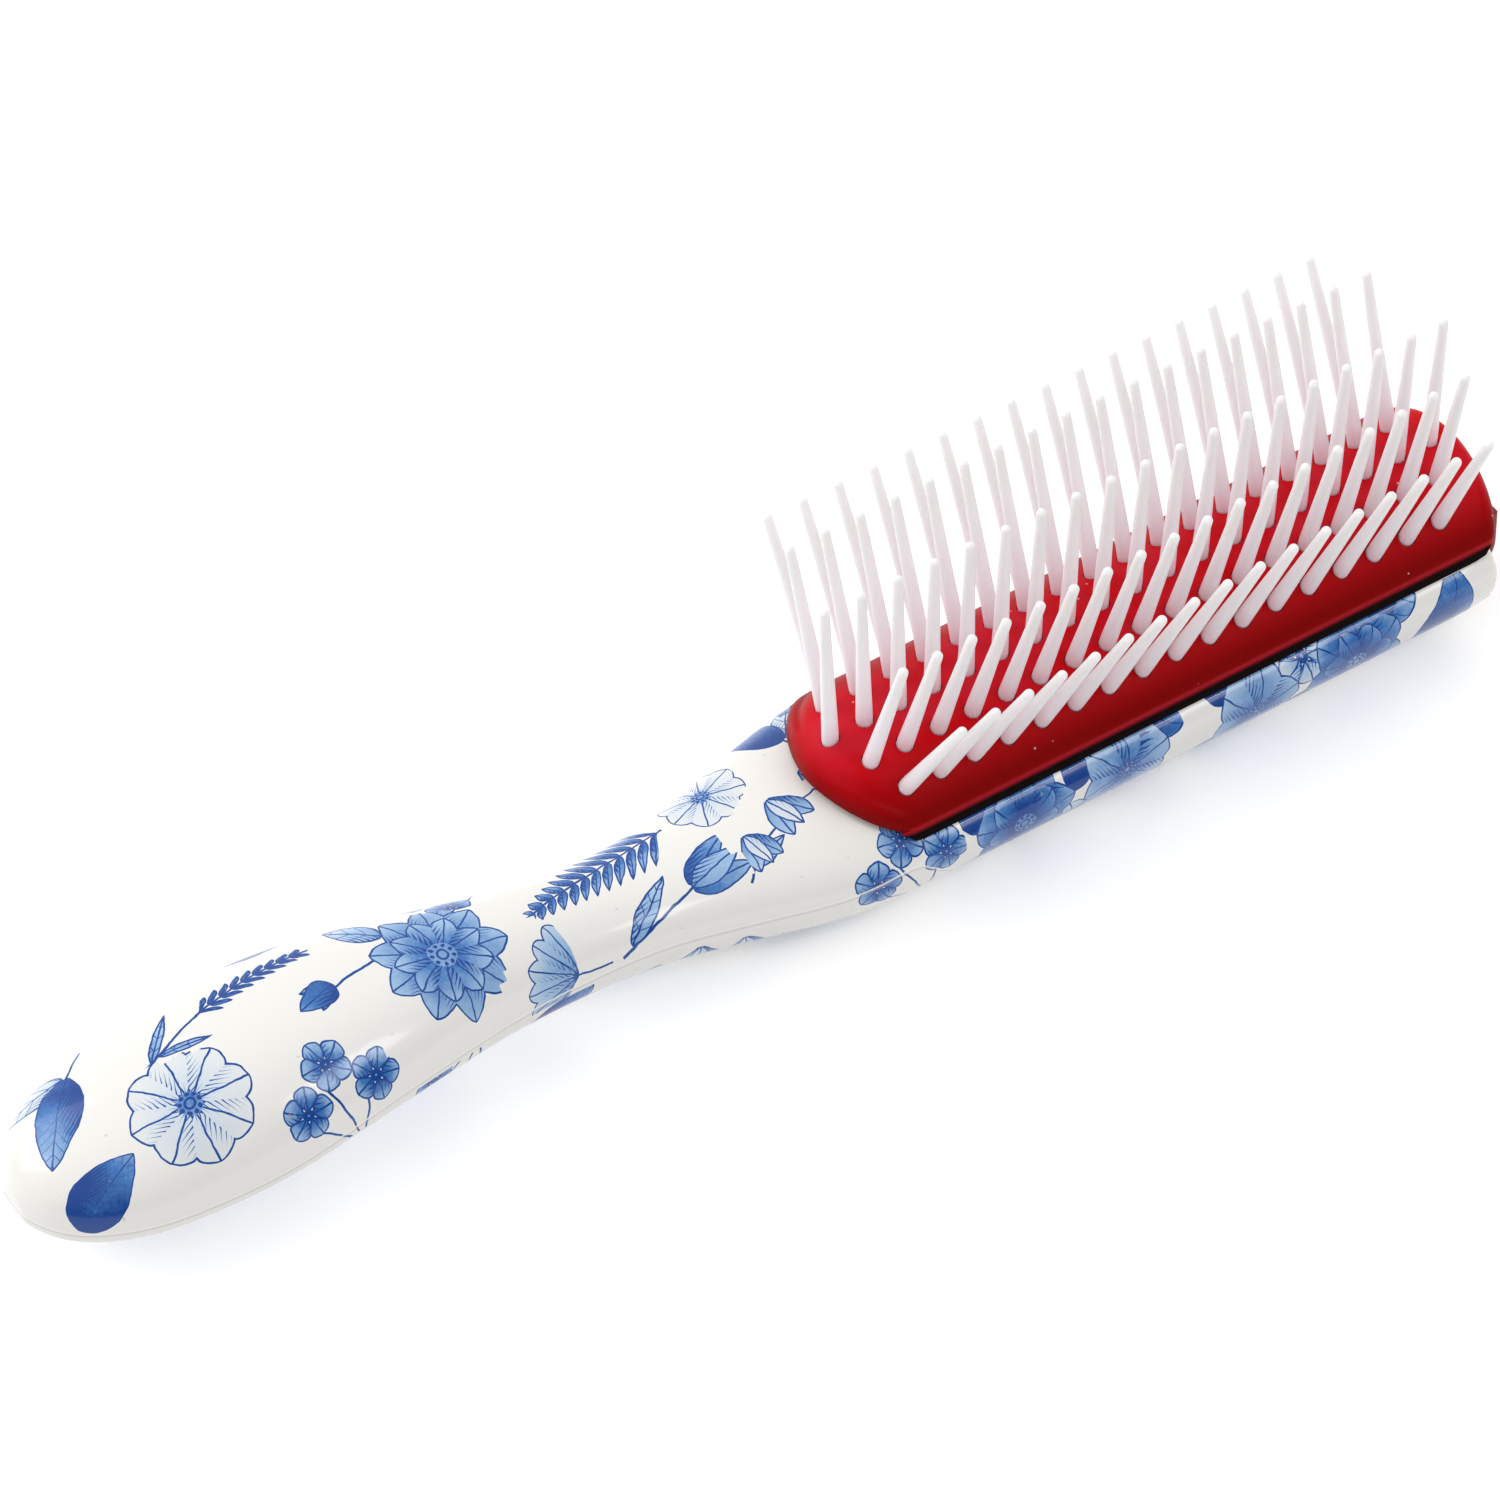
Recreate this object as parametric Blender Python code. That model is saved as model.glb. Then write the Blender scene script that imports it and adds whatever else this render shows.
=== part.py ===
"""A half-round styling brush: one moulded handle, a slide-in rubber pad and five strips of pins.

The brush lies on its back with the pins up. X runs along it from the butt to the toe, Y across it, Z up.
Sizes are in millimetres and turn into metres where a mesh is made. Lengths along the handle are
measured from the butt, and lengths on the pad and its strips from the pad's handle-side end.
"""
import math

import bmesh
import bpy
from mathutils import Matrix, Vector

MM = 0.001
# How far a cutter stands past what it cuts, and how far in a rounded end's first section lies
MARGIN = 5.0
END_SLICE = 0.04

# Overall lengths
GRIP_LENGTH = 107.6
PAD_LENGTH = 93.5

# The half-round head
HEAD_HALF_WIDTH = 14.7
HEAD_WIDEST_Z = 10.5
HEAD_DEPTH = 10.7
DECK_RISE = 5.2
RAIL_TOP_Z = 13.35
UPPER_FULLNESS = 2.3
LOWER_FULLNESS = 2.1
TOE_EDGE_ROUND = 0.9

# The grip: share of its length from the butt, half width, top, parting line and bottom heights
GRIP_STATIONS = (
    (0.121, 13.0, 19.9, 11.2, 8.0),
    (0.260, 14.2, 22.3, 11.8, 9.4),
    (0.428, 12.3, 21.9, 12.8, 8.4),
    (0.595, 8.7, 18.9, 10.8, 5.8),
    (0.762, 7.8, 15.3, 9.1, 3.0),
    (0.874, 10.0, 14.8, 8.3, 1.4),
    (0.985, 13.4, 15.4, 8.6, 0.3),
)
HEAD_RUN_IN = 10.4
BUTT_ROUND = 16.0
BUTT_FULLNESS = 1.9
RING_POINTS = 40

# The pad, a rubber arch with a lip all round
PAD_HALF_WIDTH = 12.4
CROWN_Z = 21.9
CROWN_RADIUS = 14.6
LIP_THICKNESS = 0.8
LIP_CENTRE_Z = 16.2
LIP_ARCH_RADIUS = 39.4
HANDLE_END_ROUND = 7.8
HANDLE_END_FULLNESS = 1.7
TOE_END_ROUND = 4.4
HANDLE_END_ROLL = 4.5
TOE_END_ROLL = 2.2
TOE_OVERHANG = 3.55

# Rails on the head and the pad's tongues that run in them
CLEARANCE = 0.3
LIP_OVERLAP = 1.8
RAIL_OVERHANG = 1.7
RAIL_THICKNESS = 1.35
GROOVE_HEIGHT = 2.4
NECK_THICKNESS = 1.4
SKIRT_INSET = 0.35
BED_MARGIN = 1.1
BED_SHOULDER = 7.5
CHANNEL_START = 7.5
HOLLOW_SHELF = 1.1
HOLLOW_FLOOR_Z = 2.4
HOLLOW_ROUND = 12.0
HOLLOW_RISE = 1.0

# The plug that closes the trough at the toe
PLUG_THICKNESS = 4.5
PLUG_NOSE = 4.0
PLUG_NOSE_SIZE = 0.8

# The pins and the strips that carry them
PIN_PITCH = 4.75
FIRST_PIN = 3.4
PIN_ROOT_RADIUS = 1.1
PIN_TIP_RADIUS = 0.62
PIN_POINTS = 8
DOME_LENGTH = 0.7
DOME_DEGREES = (0, 45, 72)
SKIN = 2.6
SLOT_REACH = 4.0
BAR_HALF_WIDTH = 1.1
BAR_THICKNESS = 1.5
BAR_END = 1.5
LAST_PIN_MARGIN = 4.4
# The middle row's pins lean along the brush, by these angles at its two ends
SPLAY_HANDLE_END = -1.0
SPLAY_TOE_END = 3.0
MIDDLE_PIN_HEIGHT = 21.7
INNER_PIN_HEIGHT = 22.7
OUTER_PIN_HEIGHT = 23.3
INNER_ROW_OFFSET = 5.0
OUTER_ROW_OFFSET = 9.0
INNER_LEAN_DEGREES = 16.2
OUTER_LEAN_DEGREES = 26.1
# Distance of a row from the centre line, lean of its pins from upright, and their height above the pad
MIDDLE_ROW = (0.0, 0.0, MIDDLE_PIN_HEIGHT)
INNER_ROW = (INNER_ROW_OFFSET, INNER_LEAN_DEGREES, INNER_PIN_HEIGHT)
OUTER_ROW = (OUTER_ROW_OFFSET, OUTER_LEAN_DEGREES, OUTER_PIN_HEIGHT)

# The middle row has as many pins as fit the pad, and each row outwards starts half a pitch later
PINS = int((PAD_LENGTH - FIRST_PIN - LAST_PIN_MARGIN) / PIN_PITCH) + 1
# Name, side, shape of the row, pins, start in pitches
ROWS = (
    ("pin_strip_1", 1, OUTER_ROW, PINS - 2, 1.0),
    ("pin_strip_2", 1, INNER_ROW, PINS - 1, 0.5),
    ("pin_strip_3", 0, MIDDLE_ROW, PINS, 0.0),
    ("pin_strip_4", -1, INNER_ROW, PINS - 1, 0.5),
    ("pin_strip_5", -1, OUTER_ROW, PINS - 2, 1.0),
)

HEAD_START = GRIP_LENGTH + HEAD_RUN_IN
TROUGH_END = GRIP_LENGTH + PAD_LENGTH - TOE_OVERHANG
OVERALL_LENGTH = max(TROUGH_END + PLUG_NOSE, GRIP_LENGTH + PAD_LENGTH)
RAIL_HALF_GAP = PAD_HALF_WIDTH - LIP_OVERLAP
GROOVE_HALF_WIDTH = RAIL_HALF_GAP + RAIL_OVERHANG
HOLLOW_HALF_WIDTH = GROOVE_HALF_WIDTH - HOLLOW_SHELF
GROOVE_TOP_Z = RAIL_TOP_Z - RAIL_THICKNESS
GROOVE_FLOOR_Z = GROOVE_TOP_Z - GROOVE_HEIGHT
NECK_HALF_WIDTH = RAIL_HALF_GAP - CLEARANCE
TONGUE_HALF_WIDTH = GROOVE_HALF_WIDTH - CLEARANCE
HOLLOW_TOP_Z = GROOVE_FLOOR_Z + HOLLOW_RISE
ARCH_CENTRE_Z = CROWN_Z - CROWN_RADIUS


def clear_scene():
    for thing in list(bpy.data.objects):
        bpy.data.objects.remove(thing, do_unlink=True)


def plastic(name, colour, roughness):
    material = bpy.data.materials.new(name)
    material.use_nodes = True
    shader = material.node_tree.nodes["Principled BSDF"]
    shader.inputs["Base Color"].default_value = (*colour, 1.0)
    shader.inputs["Roughness"].default_value = roughness
    shader.inputs["Metallic"].default_value = 0.0
    return material


def mesh_object(name, points, faces, material=None):
    """A closed mesh from points in millimetres, with its faces turned outwards."""
    mesh = bpy.data.meshes.new(name)
    mesh.from_pydata([Vector(p) * MM for p in points], [], faces)
    shape = bmesh.new()
    shape.from_mesh(mesh)
    bmesh.ops.recalc_face_normals(shape, faces=shape.faces)
    shape.to_mesh(mesh)
    shape.free()
    thing = bpy.data.objects.new(name, mesh)
    bpy.context.collection.objects.link(thing)
    if material is not None:
        mesh.materials.append(material)
    return thing


def loft(name, rings, material=None):
    """Skins a row of rings that have the same number of points, and closes both ends."""
    count = len(rings[0])
    points = [point for ring in rings for point in ring]
    faces = []
    for row in range(len(rings) - 1):
        for i in range(count):
            j = (i + 1) % count
            near, far = row * count, (row + 1) * count
            faces.append((near + i, near + j, far + j, far + i))
    faces.append(tuple(range(count)))
    faces.append(tuple(range((len(rings) - 1) * count, len(rings) * count)))
    return mesh_object(name, points, faces, material)


def prism(name, outline, low, high):
    """An upright block from a plan outline."""
    return loft(name, [[(x, y, low) for x, y in outline], [(x, y, high) for x, y in outline]])


def extrusion(name, section, start, end):
    """A block along X from a section of (y, z) points."""
    return loft(name, [[(start, y, z) for y, z in section], [(end, y, z) for y, z in section]])


def combine(target, helper, operation):
    """Adds or cuts a helper shape, which stays hidden and moves with the piece."""
    helper.hide_render = True
    helper.display_type = "WIRE"
    helper.parent = target
    boolean = target.modifiers.new(helper.name, "BOOLEAN")
    boolean.operation = operation
    boolean.object = helper


def round_off(distance, length, power=2.0):
    """The share of full size at a distance from a rounded end, from 0 at the end to 1."""
    left = max(0.0, 1.0 - distance / length)
    return max(0.0, 1.0 - left ** power) ** (1.0 / power)


def along_grip(distance):
    """Half width, top, parting line and bottom at a distance from the butt, on smooth curves."""
    head = (HEAD_HALF_WIDTH, HEAD_WIDEST_Z + DECK_RISE, HEAD_WIDEST_Z, HEAD_WIDEST_Z - HEAD_DEPTH)
    stations = [(share * GRIP_LENGTH, *sizes) for share, *sizes in GRIP_STATIONS]
    stations.append((HEAD_START, *head))
    if distance >= HEAD_START:
        return head
    places = [s[0] for s in stations]
    span = 0
    while span < len(places) - 2 and distance > places[span + 1]:
        span += 1
    width = places[span + 1] - places[span]
    t = (distance - places[span]) / width

    def slope(k, column):
        if k == len(stations) - 1:
            return 0.0
        before, after = stations[max(k - 1, 0)], stations[k + 1]
        return (after[column] - before[column]) / (after[0] - before[0])

    values = []
    for column in range(1, 5):
        a, b = stations[span][column], stations[span + 1][column]
        sa, sb = slope(span, column) * width, slope(span + 1, column) * width
        curve = (2 * t ** 3 - 3 * t ** 2 + 1) * a + (t ** 3 - 2 * t ** 2 + t) * sa
        curve += (3 * t ** 2 - 2 * t ** 3) * b + (t ** 3 - t ** 2) * sb
        values.append(curve)
    return tuple(values)


def body_ring(distance, inset=0.0):
    """One section of the handle: a flatter top, a fuller back, and the flat that it stands on."""
    half, top, seam, bottom = along_grip(distance)
    half = half * round_off(distance, BUTT_ROUND, BUTT_FULLNESS) - inset
    swell = round_off(distance, BUTT_ROUND, UPPER_FULLNESS)
    upper = (top - seam) * swell - inset
    lower = (seam - bottom) * swell - inset
    ring = []
    for i in range(RING_POINTS):
        angle = 2 * math.pi * i / RING_POINTS
        c, s = math.cos(angle), math.sin(angle)
        fullness, height = (UPPER_FULLNESS, upper) if s >= 0 else (LOWER_FULLNESS, lower)
        y = half * math.copysign(abs(c) ** (2 / fullness), c)
        z = seam + height * math.copysign(abs(s) ** (2 / fullness), s)
        ring.append((distance, y, max(z, 0.0)))
    return ring


def body_places():
    """Where the handle's sections lie: close together where it curves."""
    butt = [BUTT_ROUND * (1 - math.cos(math.pi / 2 * k / 8)) for k in range(1, 9)]
    butt.insert(0, END_SLICE)
    steps = 24
    grip = [BUTT_ROUND + (HEAD_START - BUTT_ROUND) * k / steps for k in range(1, steps + 1)]
    return butt + grip


def make_handle(material):
    rings = [body_ring(d) for d in body_places()]
    for degrees in (0, 45, 90):
        turn = math.radians(degrees)
        back, inset = TOE_EDGE_ROUND * (1 - math.sin(turn)), TOE_EDGE_ROUND * (1 - math.cos(turn))
        rings.append(body_ring(TROUGH_END - back, inset))
    handle = loft("handle", rings, material)

    beyond = TROUGH_END + MARGIN
    outside = HEAD_HALF_WIDTH + MARGIN
    bed = pad_outline_end(BED_MARGIN, BED_SHOULDER)
    bed = [(GRIP_LENGTH + x, y) for x, y in bed]
    bed += [(bed[-1][0], outside), (beyond, outside), (beyond, -outside), (bed[0][0], -outside)]
    combine(handle, prism("bed_cut", bed, RAIL_TOP_Z, CROWN_Z + MARGIN), "DIFFERENCE")

    start = GRIP_LENGTH + CHANNEL_START
    throat = rectangle(RAIL_HALF_GAP, GROOVE_FLOOR_Z + GROOVE_HEIGHT / 2, RAIL_TOP_Z + MARGIN)
    combine(handle, extrusion("throat_cut", throat, start, beyond), "DIFFERENCE")
    groove = rectangle(GROOVE_HALF_WIDTH, GROOVE_FLOOR_Z, GROOVE_TOP_Z)
    combine(handle, extrusion("groove_cut", groove, start, beyond), "DIFFERENCE")
    combine(handle, hollow_cutter(start, beyond), "DIFFERENCE")
    return handle


def rectangle(half_width, low, high):
    return [(-half_width, low), (half_width, low), (half_width, high), (-half_width, high)]


def hollow_cutter(start, end):
    """The half-round hollow under the pad, closed by a rounded end towards the grip."""
    top = HOLLOW_TOP_Z
    places = [start + HOLLOW_ROUND * (1 - math.cos(math.pi / 2 * k / 6)) for k in range(1, 7)]
    places.insert(0, start + END_SLICE)
    rings = []
    for x in places + [end]:
        size = round_off(x - start, HOLLOW_ROUND)
        rings.append(half_round(x, HOLLOW_HALF_WIDTH * size, top, top - (top - HOLLOW_FLOOR_Z) * size, top))
    return loft("hollow_cut", rings)


def half_round(x, half_width, seam, bottom, top, points=16):
    """A section with a half-elliptic back, straight sides and a flat top."""
    ring = []
    for i in range(points + 1):
        angle = math.pi + math.pi * i / points
        ring.append((x, half_width * math.cos(angle), seam + (seam - bottom) * math.sin(angle)))
    if top > seam:
        ring += [(x, half_width, top), (x, -half_width, top)]
    return ring


def pad_outline_end(inset, reach, points=16):
    """The pad's round handle-side end in plan, drawn in by a margin and stopped at a reach."""
    length = HANDLE_END_ROUND - inset
    half = PAD_HALF_WIDTH - inset
    power = 2 / HANDLE_END_FULLNESS
    limit = math.acos(max(0.0, 1 - (reach - inset) / length) ** (1 / power))
    outline = []
    for i in range(points + 1):
        turn = limit * (2 * i / points - 1)
        x = inset + length * (1 - math.cos(turn) ** power)
        outline.append((x, half * math.copysign(abs(math.sin(turn)) ** power, turn)))
    return outline


def pad_half_width(x):
    """The pad's half width in plan at a distance from its handle-side end."""
    from_handle = round_off(x, HANDLE_END_ROUND, HANDLE_END_FULLNESS)
    return PAD_HALF_WIDTH * from_handle * round_off(PAD_LENGTH - x, TOE_END_ROUND)


def crown(y):
    return ARCH_CENTRE_Z + math.sqrt(CROWN_RADIUS ** 2 - y ** 2)


def lip_underside(y):
    return LIP_CENTRE_Z - LIP_ARCH_RADIUS + math.sqrt(LIP_ARCH_RADIUS ** 2 - y ** 2)


def end_roll(x, y):
    """How far the crown has risen at a point of the pad, from 0 on the rim of an end to 1."""
    edge = PAD_HALF_WIDTH - abs(y)
    from_handle = x - HANDLE_END_ROUND * (1 - round_off(edge, PAD_HALF_WIDTH, HANDLE_END_FULLNESS))
    from_toe = PAD_LENGTH - x - TOE_END_ROUND * (1 - round_off(edge, PAD_HALF_WIDTH))
    return round_off(from_handle, HANDLE_END_ROLL) * round_off(from_toe, TOE_END_ROLL)


def pad_ring(x):
    """One section of the pad's arch: its crown on top, the lip's band, and a shallow arch below."""
    half = pad_half_width(x)
    steps = 14
    across = [-math.cos(math.pi * i / steps) for i in range(steps + 1)]
    ring = []
    for share in across:
        y = half * share
        lip_top = lip_underside(y) + LIP_THICKNESS
        ring.append((x, y, lip_top + (crown(y) - lip_top) * end_roll(x, y)))
    for share in reversed(across[::2]):
        ring.append((x, half * share, lip_underside(half * share)))
    return ring


def pad_places():
    """Where the pad's sections lie: close together at its two round ends."""
    handle = [HANDLE_END_ROUND * (1 - math.cos(math.pi / 2 * k / 9)) for k in range(1, 10)]
    toe = [PAD_LENGTH - TOE_END_ROUND * (1 - math.cos(math.pi / 2 * k / 8)) for k in range(8, 0, -1)]
    return [END_SLICE] + handle + toe + [PAD_LENGTH - END_SLICE]


def make_pad(material, runner):
    pad = loft("rubber_pad", [pad_ring(x) for x in pad_places()], material)
    pad.parent = runner
    rails_start = CHANNEL_START + CLEARANCE
    rails_end = PAD_LENGTH - TOE_OVERHANG
    for side, name in ((1, "far_rail"), (-1, "near_rail")):
        combine(pad, extrusion(name, tongue_section(side), rails_start, rails_end), "UNION")
    combine(pad, toe_plug(rails_end), "UNION")
    for row in ROWS:
        combine(pad, bar_slot(row), "DIFFERENCE")
        combine(pad, pin_holes(row), "DIFFERENCE")
    return pad


def tongue_section(side):
    """A neck between the head's rails, with a tongue below a rail and a skirt that closes in above it."""
    inner = NECK_HALF_WIDTH - NECK_THICKNESS
    tongue_top = GROOVE_TOP_Z - CLEARANCE
    tongue_bottom = GROOVE_FLOOR_Z + CLEARANCE
    inside_pad = lip_underside(inner) + LIP_THICKNESS
    skirt = PAD_HALF_WIDTH - SKIRT_INSET
    skirt_bottom = RAIL_TOP_Z + CLEARANCE
    outline = [
        (inner, tongue_bottom),
        (TONGUE_HALF_WIDTH, tongue_bottom),
        (TONGUE_HALF_WIDTH, tongue_top),
        (NECK_HALF_WIDTH, tongue_top),
        (NECK_HALF_WIDTH, skirt_bottom),
        (skirt, skirt_bottom),
        (skirt, lip_underside(skirt) + LIP_THICKNESS / 2),
        (inner, inside_pad),
    ]
    return [(side * y, z) for y, z in outline]


def toe_plug(rails_end):
    """The wall that closes the trough at the toe. Its face swells out and its top falls away."""
    depth = HOLLOW_TOP_Z - HOLLOW_FLOOR_Z - CLEARANCE
    inside_pad = LIP_CENTRE_Z + LIP_THICKNESS / 2
    rings = []
    for x in (-PLUG_THICKNESS, 0.0, PLUG_NOSE / 2, PLUG_NOSE):
        bulge = math.sqrt(1 - max(0.0, x / PLUG_NOSE) ** 2)
        size = PLUG_NOSE_SIZE + (1 - PLUG_NOSE_SIZE) * bulge
        bottom = HOLLOW_TOP_Z - depth * size
        top = HOLLOW_TOP_Z + (inside_pad - HOLLOW_TOP_Z) * size ** 2
        half = NECK_HALF_WIDTH * size
        rings.append(half_round(rails_end + x, half, HOLLOW_TOP_Z, bottom, top, 12))
    return loft("toe_plug", rings)


def row_frame(row):
    """Where a row's first pin leaves the pad, turned so that local Z runs up the pins."""
    _, side, (offset, lean, _), _, start = row
    place = Vector((FIRST_PIN + start * PIN_PITCH, side * offset, crown(offset))) * MM
    return Matrix.Translation(place) @ Matrix.Rotation(math.radians(-side * lean), 4, "X")


def row_length(row):
    return (row[3] - 1) * PIN_PITCH


def splay(row, index):
    """How far a pin leans along the brush: only those of the middle row do."""
    if row[2] is not MIDDLE_ROW:
        return 0.0
    share = index / (row[3] - 1)
    return math.radians(SPLAY_HANDLE_END + (SPLAY_TOE_END - SPLAY_HANDLE_END) * share)


def pins(name, row, profile, root):
    """Turned pins along a row, as closed shapes in the row's own frame."""
    points, faces = [], []
    for index in range(row[3]):
        foot = Vector((index * PIN_PITCH, 0.0, 0.0))
        tilt = Matrix.Rotation(splay(row, index), 3, "Y")
        first = len(points)
        for height, radius in profile:
            for i in range(PIN_POINTS):
                angle = 2 * math.pi * (i + 0.5) / PIN_POINTS
                local = Vector((radius * math.cos(angle), radius * math.sin(angle), height))
                points.append(foot + tilt @ local)
        for ring in range(len(profile) - 1):
            for i in range(PIN_POINTS):
                j = (i + 1) % PIN_POINTS
                low, high = first + ring * PIN_POINTS, first + (ring + 1) * PIN_POINTS
                faces.append((low + i, low + j, high + j, high + i))
        faces.append(tuple(range(first, first + PIN_POINTS)))
        last = first + (len(profile) - 1) * PIN_POINTS
        faces.append(tuple(range(last, last + PIN_POINTS)))
    thing = mesh_object(name, points, faces)
    thing.matrix_local = root
    return thing


def bar(name, row, grow, height):
    """A bar under a row of pins, or the slot for it when it is grown by a clearance."""
    top = grow - (SKIN + CLEARANCE)
    half, end = BAR_HALF_WIDTH + grow, BAR_END + grow
    section = rectangle(half, top - height, top)
    return extrusion(name, section, -end, row_length(row) + end)


def bar_slot(row):
    """The slot runs on below the bar, out through the pad's underside."""
    slot = bar(row[0] + "_slot", row, CLEARANCE, BAR_THICKNESS + SLOT_REACH)
    slot.matrix_local = row_frame(row)
    return slot


def pin_holes(row):
    radius = PIN_ROOT_RADIUS + CLEARANCE
    profile = ((-(SKIN + BAR_THICKNESS), radius), (MARGIN, radius))
    return pins(row[0] + "_holes", row, profile, row_frame(row))


def make_strip(row, material, runner):
    """A bar with its pins, which pass up through the pad and end in small domes."""
    strip = bar(row[0], row, 0.0, BAR_THICKNESS)
    strip.data.materials.append(material)
    profile = [(-(SKIN + CLEARANCE + BAR_THICKNESS / 2), PIN_ROOT_RADIUS)]
    for degrees in DOME_DEGREES:
        turn = math.radians(degrees)
        height = row[2][2] - DOME_LENGTH * (1 - math.sin(turn))
        profile.append((height, PIN_TIP_RADIUS * math.cos(turn)))
    combine(strip, pins(row[0] + "_pins", row, profile, Matrix.Identity(4)), "UNION")
    strip.parent = runner
    strip.matrix_local = row_frame(row)
    return strip


def main():
    clear_scene()
    ivory = plastic("ivory_gloss", (0.84, 0.82, 0.77), 0.18)
    red = plastic("red_rubber", (0.58, 0.0, 0.012), 0.42)
    nylon = plastic("milky_nylon", (0.84, 0.78, 0.82), 0.35)

    handle = make_handle(ivory)
    handle.location.x = -OVERALL_LENGTH / 2 * MM

    runner = bpy.data.objects.new("pad_runner", None)
    bpy.context.collection.objects.link(runner)
    runner.location.x = (GRIP_LENGTH - OVERALL_LENGTH / 2) * MM
    make_pad(red, runner)
    for row in ROWS:
        make_strip(row, nylon, runner)


main()
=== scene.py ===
# %% [markdown]
# # A half-round styling brush with a printed handle
# This notebook dresses the bare model of a styling brush. The brush is a moulded handle with a half-round
# trough for a head, a soft rubber pad that slides into the trough from the toe, and five strips of nylon
# pins that stand in the pad. The bare model is loaded first and never changed: each part below is modelled
# again with a fine surface, in the same place, and stands in for the bare one.

# %% Load the bare model
import math

import bmesh
import bpy
import numpy as np
from mathutils import Matrix, Vector
from mathutils.bvhtree import BVHTree


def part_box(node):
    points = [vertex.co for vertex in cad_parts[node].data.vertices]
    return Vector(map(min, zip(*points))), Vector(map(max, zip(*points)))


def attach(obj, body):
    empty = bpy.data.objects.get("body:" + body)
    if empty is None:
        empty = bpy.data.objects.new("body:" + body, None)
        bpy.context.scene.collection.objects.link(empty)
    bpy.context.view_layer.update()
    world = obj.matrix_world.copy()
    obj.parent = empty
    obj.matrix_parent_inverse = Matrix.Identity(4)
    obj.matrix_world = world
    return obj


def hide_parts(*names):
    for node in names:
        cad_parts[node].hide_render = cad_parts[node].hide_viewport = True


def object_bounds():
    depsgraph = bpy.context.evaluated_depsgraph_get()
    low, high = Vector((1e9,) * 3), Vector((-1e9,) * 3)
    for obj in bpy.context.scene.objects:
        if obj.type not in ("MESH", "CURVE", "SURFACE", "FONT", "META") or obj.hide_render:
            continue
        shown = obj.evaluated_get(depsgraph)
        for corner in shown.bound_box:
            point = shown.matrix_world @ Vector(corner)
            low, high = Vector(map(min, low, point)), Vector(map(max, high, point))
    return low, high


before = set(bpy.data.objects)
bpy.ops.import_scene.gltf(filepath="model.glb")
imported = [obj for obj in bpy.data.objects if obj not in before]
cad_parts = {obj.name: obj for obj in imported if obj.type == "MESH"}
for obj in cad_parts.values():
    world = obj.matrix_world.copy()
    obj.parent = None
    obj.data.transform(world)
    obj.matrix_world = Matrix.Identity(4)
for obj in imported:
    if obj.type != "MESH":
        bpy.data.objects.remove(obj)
cad_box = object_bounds()
MM = 0.001

# %% [markdown]
# The handle, the pad and the pins share one line down the middle of the brush. X runs along it to the toe,
# Z is up, and the brush lies on its back. Two places are read from the bare model, the butt and the pad's
# round end, so that whatever is modelled here stays where the bare parts are.

# %% Where things start
TOE_OVERHANG = 3.55
BUTT_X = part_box("handle")[0].x / MM
PAD_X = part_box("rubber_pad")[0].x / MM
TOE_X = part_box("handle")[1].x / MM
GRIP_LENGTH = PAD_X - BUTT_X
PAD_LENGTH = TOE_X + TOE_OVERHANG - PAD_X
print(f"butt at {BUTT_X:.1f} mm, pad from {PAD_X:.1f} mm, head ends at {TOE_X:.1f} mm")

# %% [markdown]
# ## Camera, light and floor
# The camera comes first, because every later choice is judged through it. It stands high on the near side
# and looks down the brush with a long lens, so that the handle and the head keep nearly the same scale.

# %% Camera
CAMERA_AZIMUTH = math.radians(-32.35)
CAMERA_ELEVATION = math.radians(48.77)
CAMERA_ROLL = math.radians(-0.85)
CAMERA_DISTANCE = 1158.5
CAMERA_AIM = Vector((1.81, 4.12, 21.0))
CAMERA_LENS = 239.0
SENSOR_WIDTH = 36.0
CLIP_END = 10.0

away = Vector((math.sin(CAMERA_AZIMUTH) * math.cos(CAMERA_ELEVATION),
               -math.cos(CAMERA_AZIMUTH) * math.cos(CAMERA_ELEVATION),
               math.sin(CAMERA_ELEVATION)))
level = Vector((math.cos(CAMERA_AZIMUTH), math.sin(CAMERA_AZIMUTH), 0.0))
upright = away.cross(level)
right = math.cos(CAMERA_ROLL) * level + math.sin(CAMERA_ROLL) * upright
up = away.cross(right)

bpy.ops.object.camera_add(location=(CAMERA_AIM + away * CAMERA_DISTANCE) * MM)
camera = bpy.context.object
camera.name = "camera"
camera.rotation_mode = "QUATERNION"
camera.rotation_quaternion = Matrix((right, up, away)).transposed().to_quaternion()
camera.data.sensor_width = SENSOR_WIDTH
camera.data.lens = CAMERA_LENS
camera.data.clip_end = CLIP_END
bpy.context.scene.camera = camera
bpy.context.scene.view_settings.view_transform = "Standard"
print("camera at", [round(c / MM) for c in camera.location], "mm")

# %% [markdown]
# Small glossy things are photographed in a tent of soft light. The world is that tent: bright above and
# behind, and dim low in front, where the photographer stands. Two soft lamps shape the brush. The key lamp
# lays a long highlight on the grip, and the rim lamp stands behind and lights the edges of the pins.

# %% Light
WHITE = (1.0, 1.0, 1.0, 1.0)
TENT_DIRECTION = (-0.15, 0.55, 0.82)
TENT_GLOW = {"From Min": -0.55, "From Max": 0.75, "To Min": 0.21, "To Max": 0.95}
# Each lamp's place, power and width
LAMPS = {
    "key_lamp": ((0.42, -0.60, 0.80), 1.9, 0.34),
    "rim_lamp": ((-0.55, 0.75, 0.62), 3.9, 0.7),
}

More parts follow.
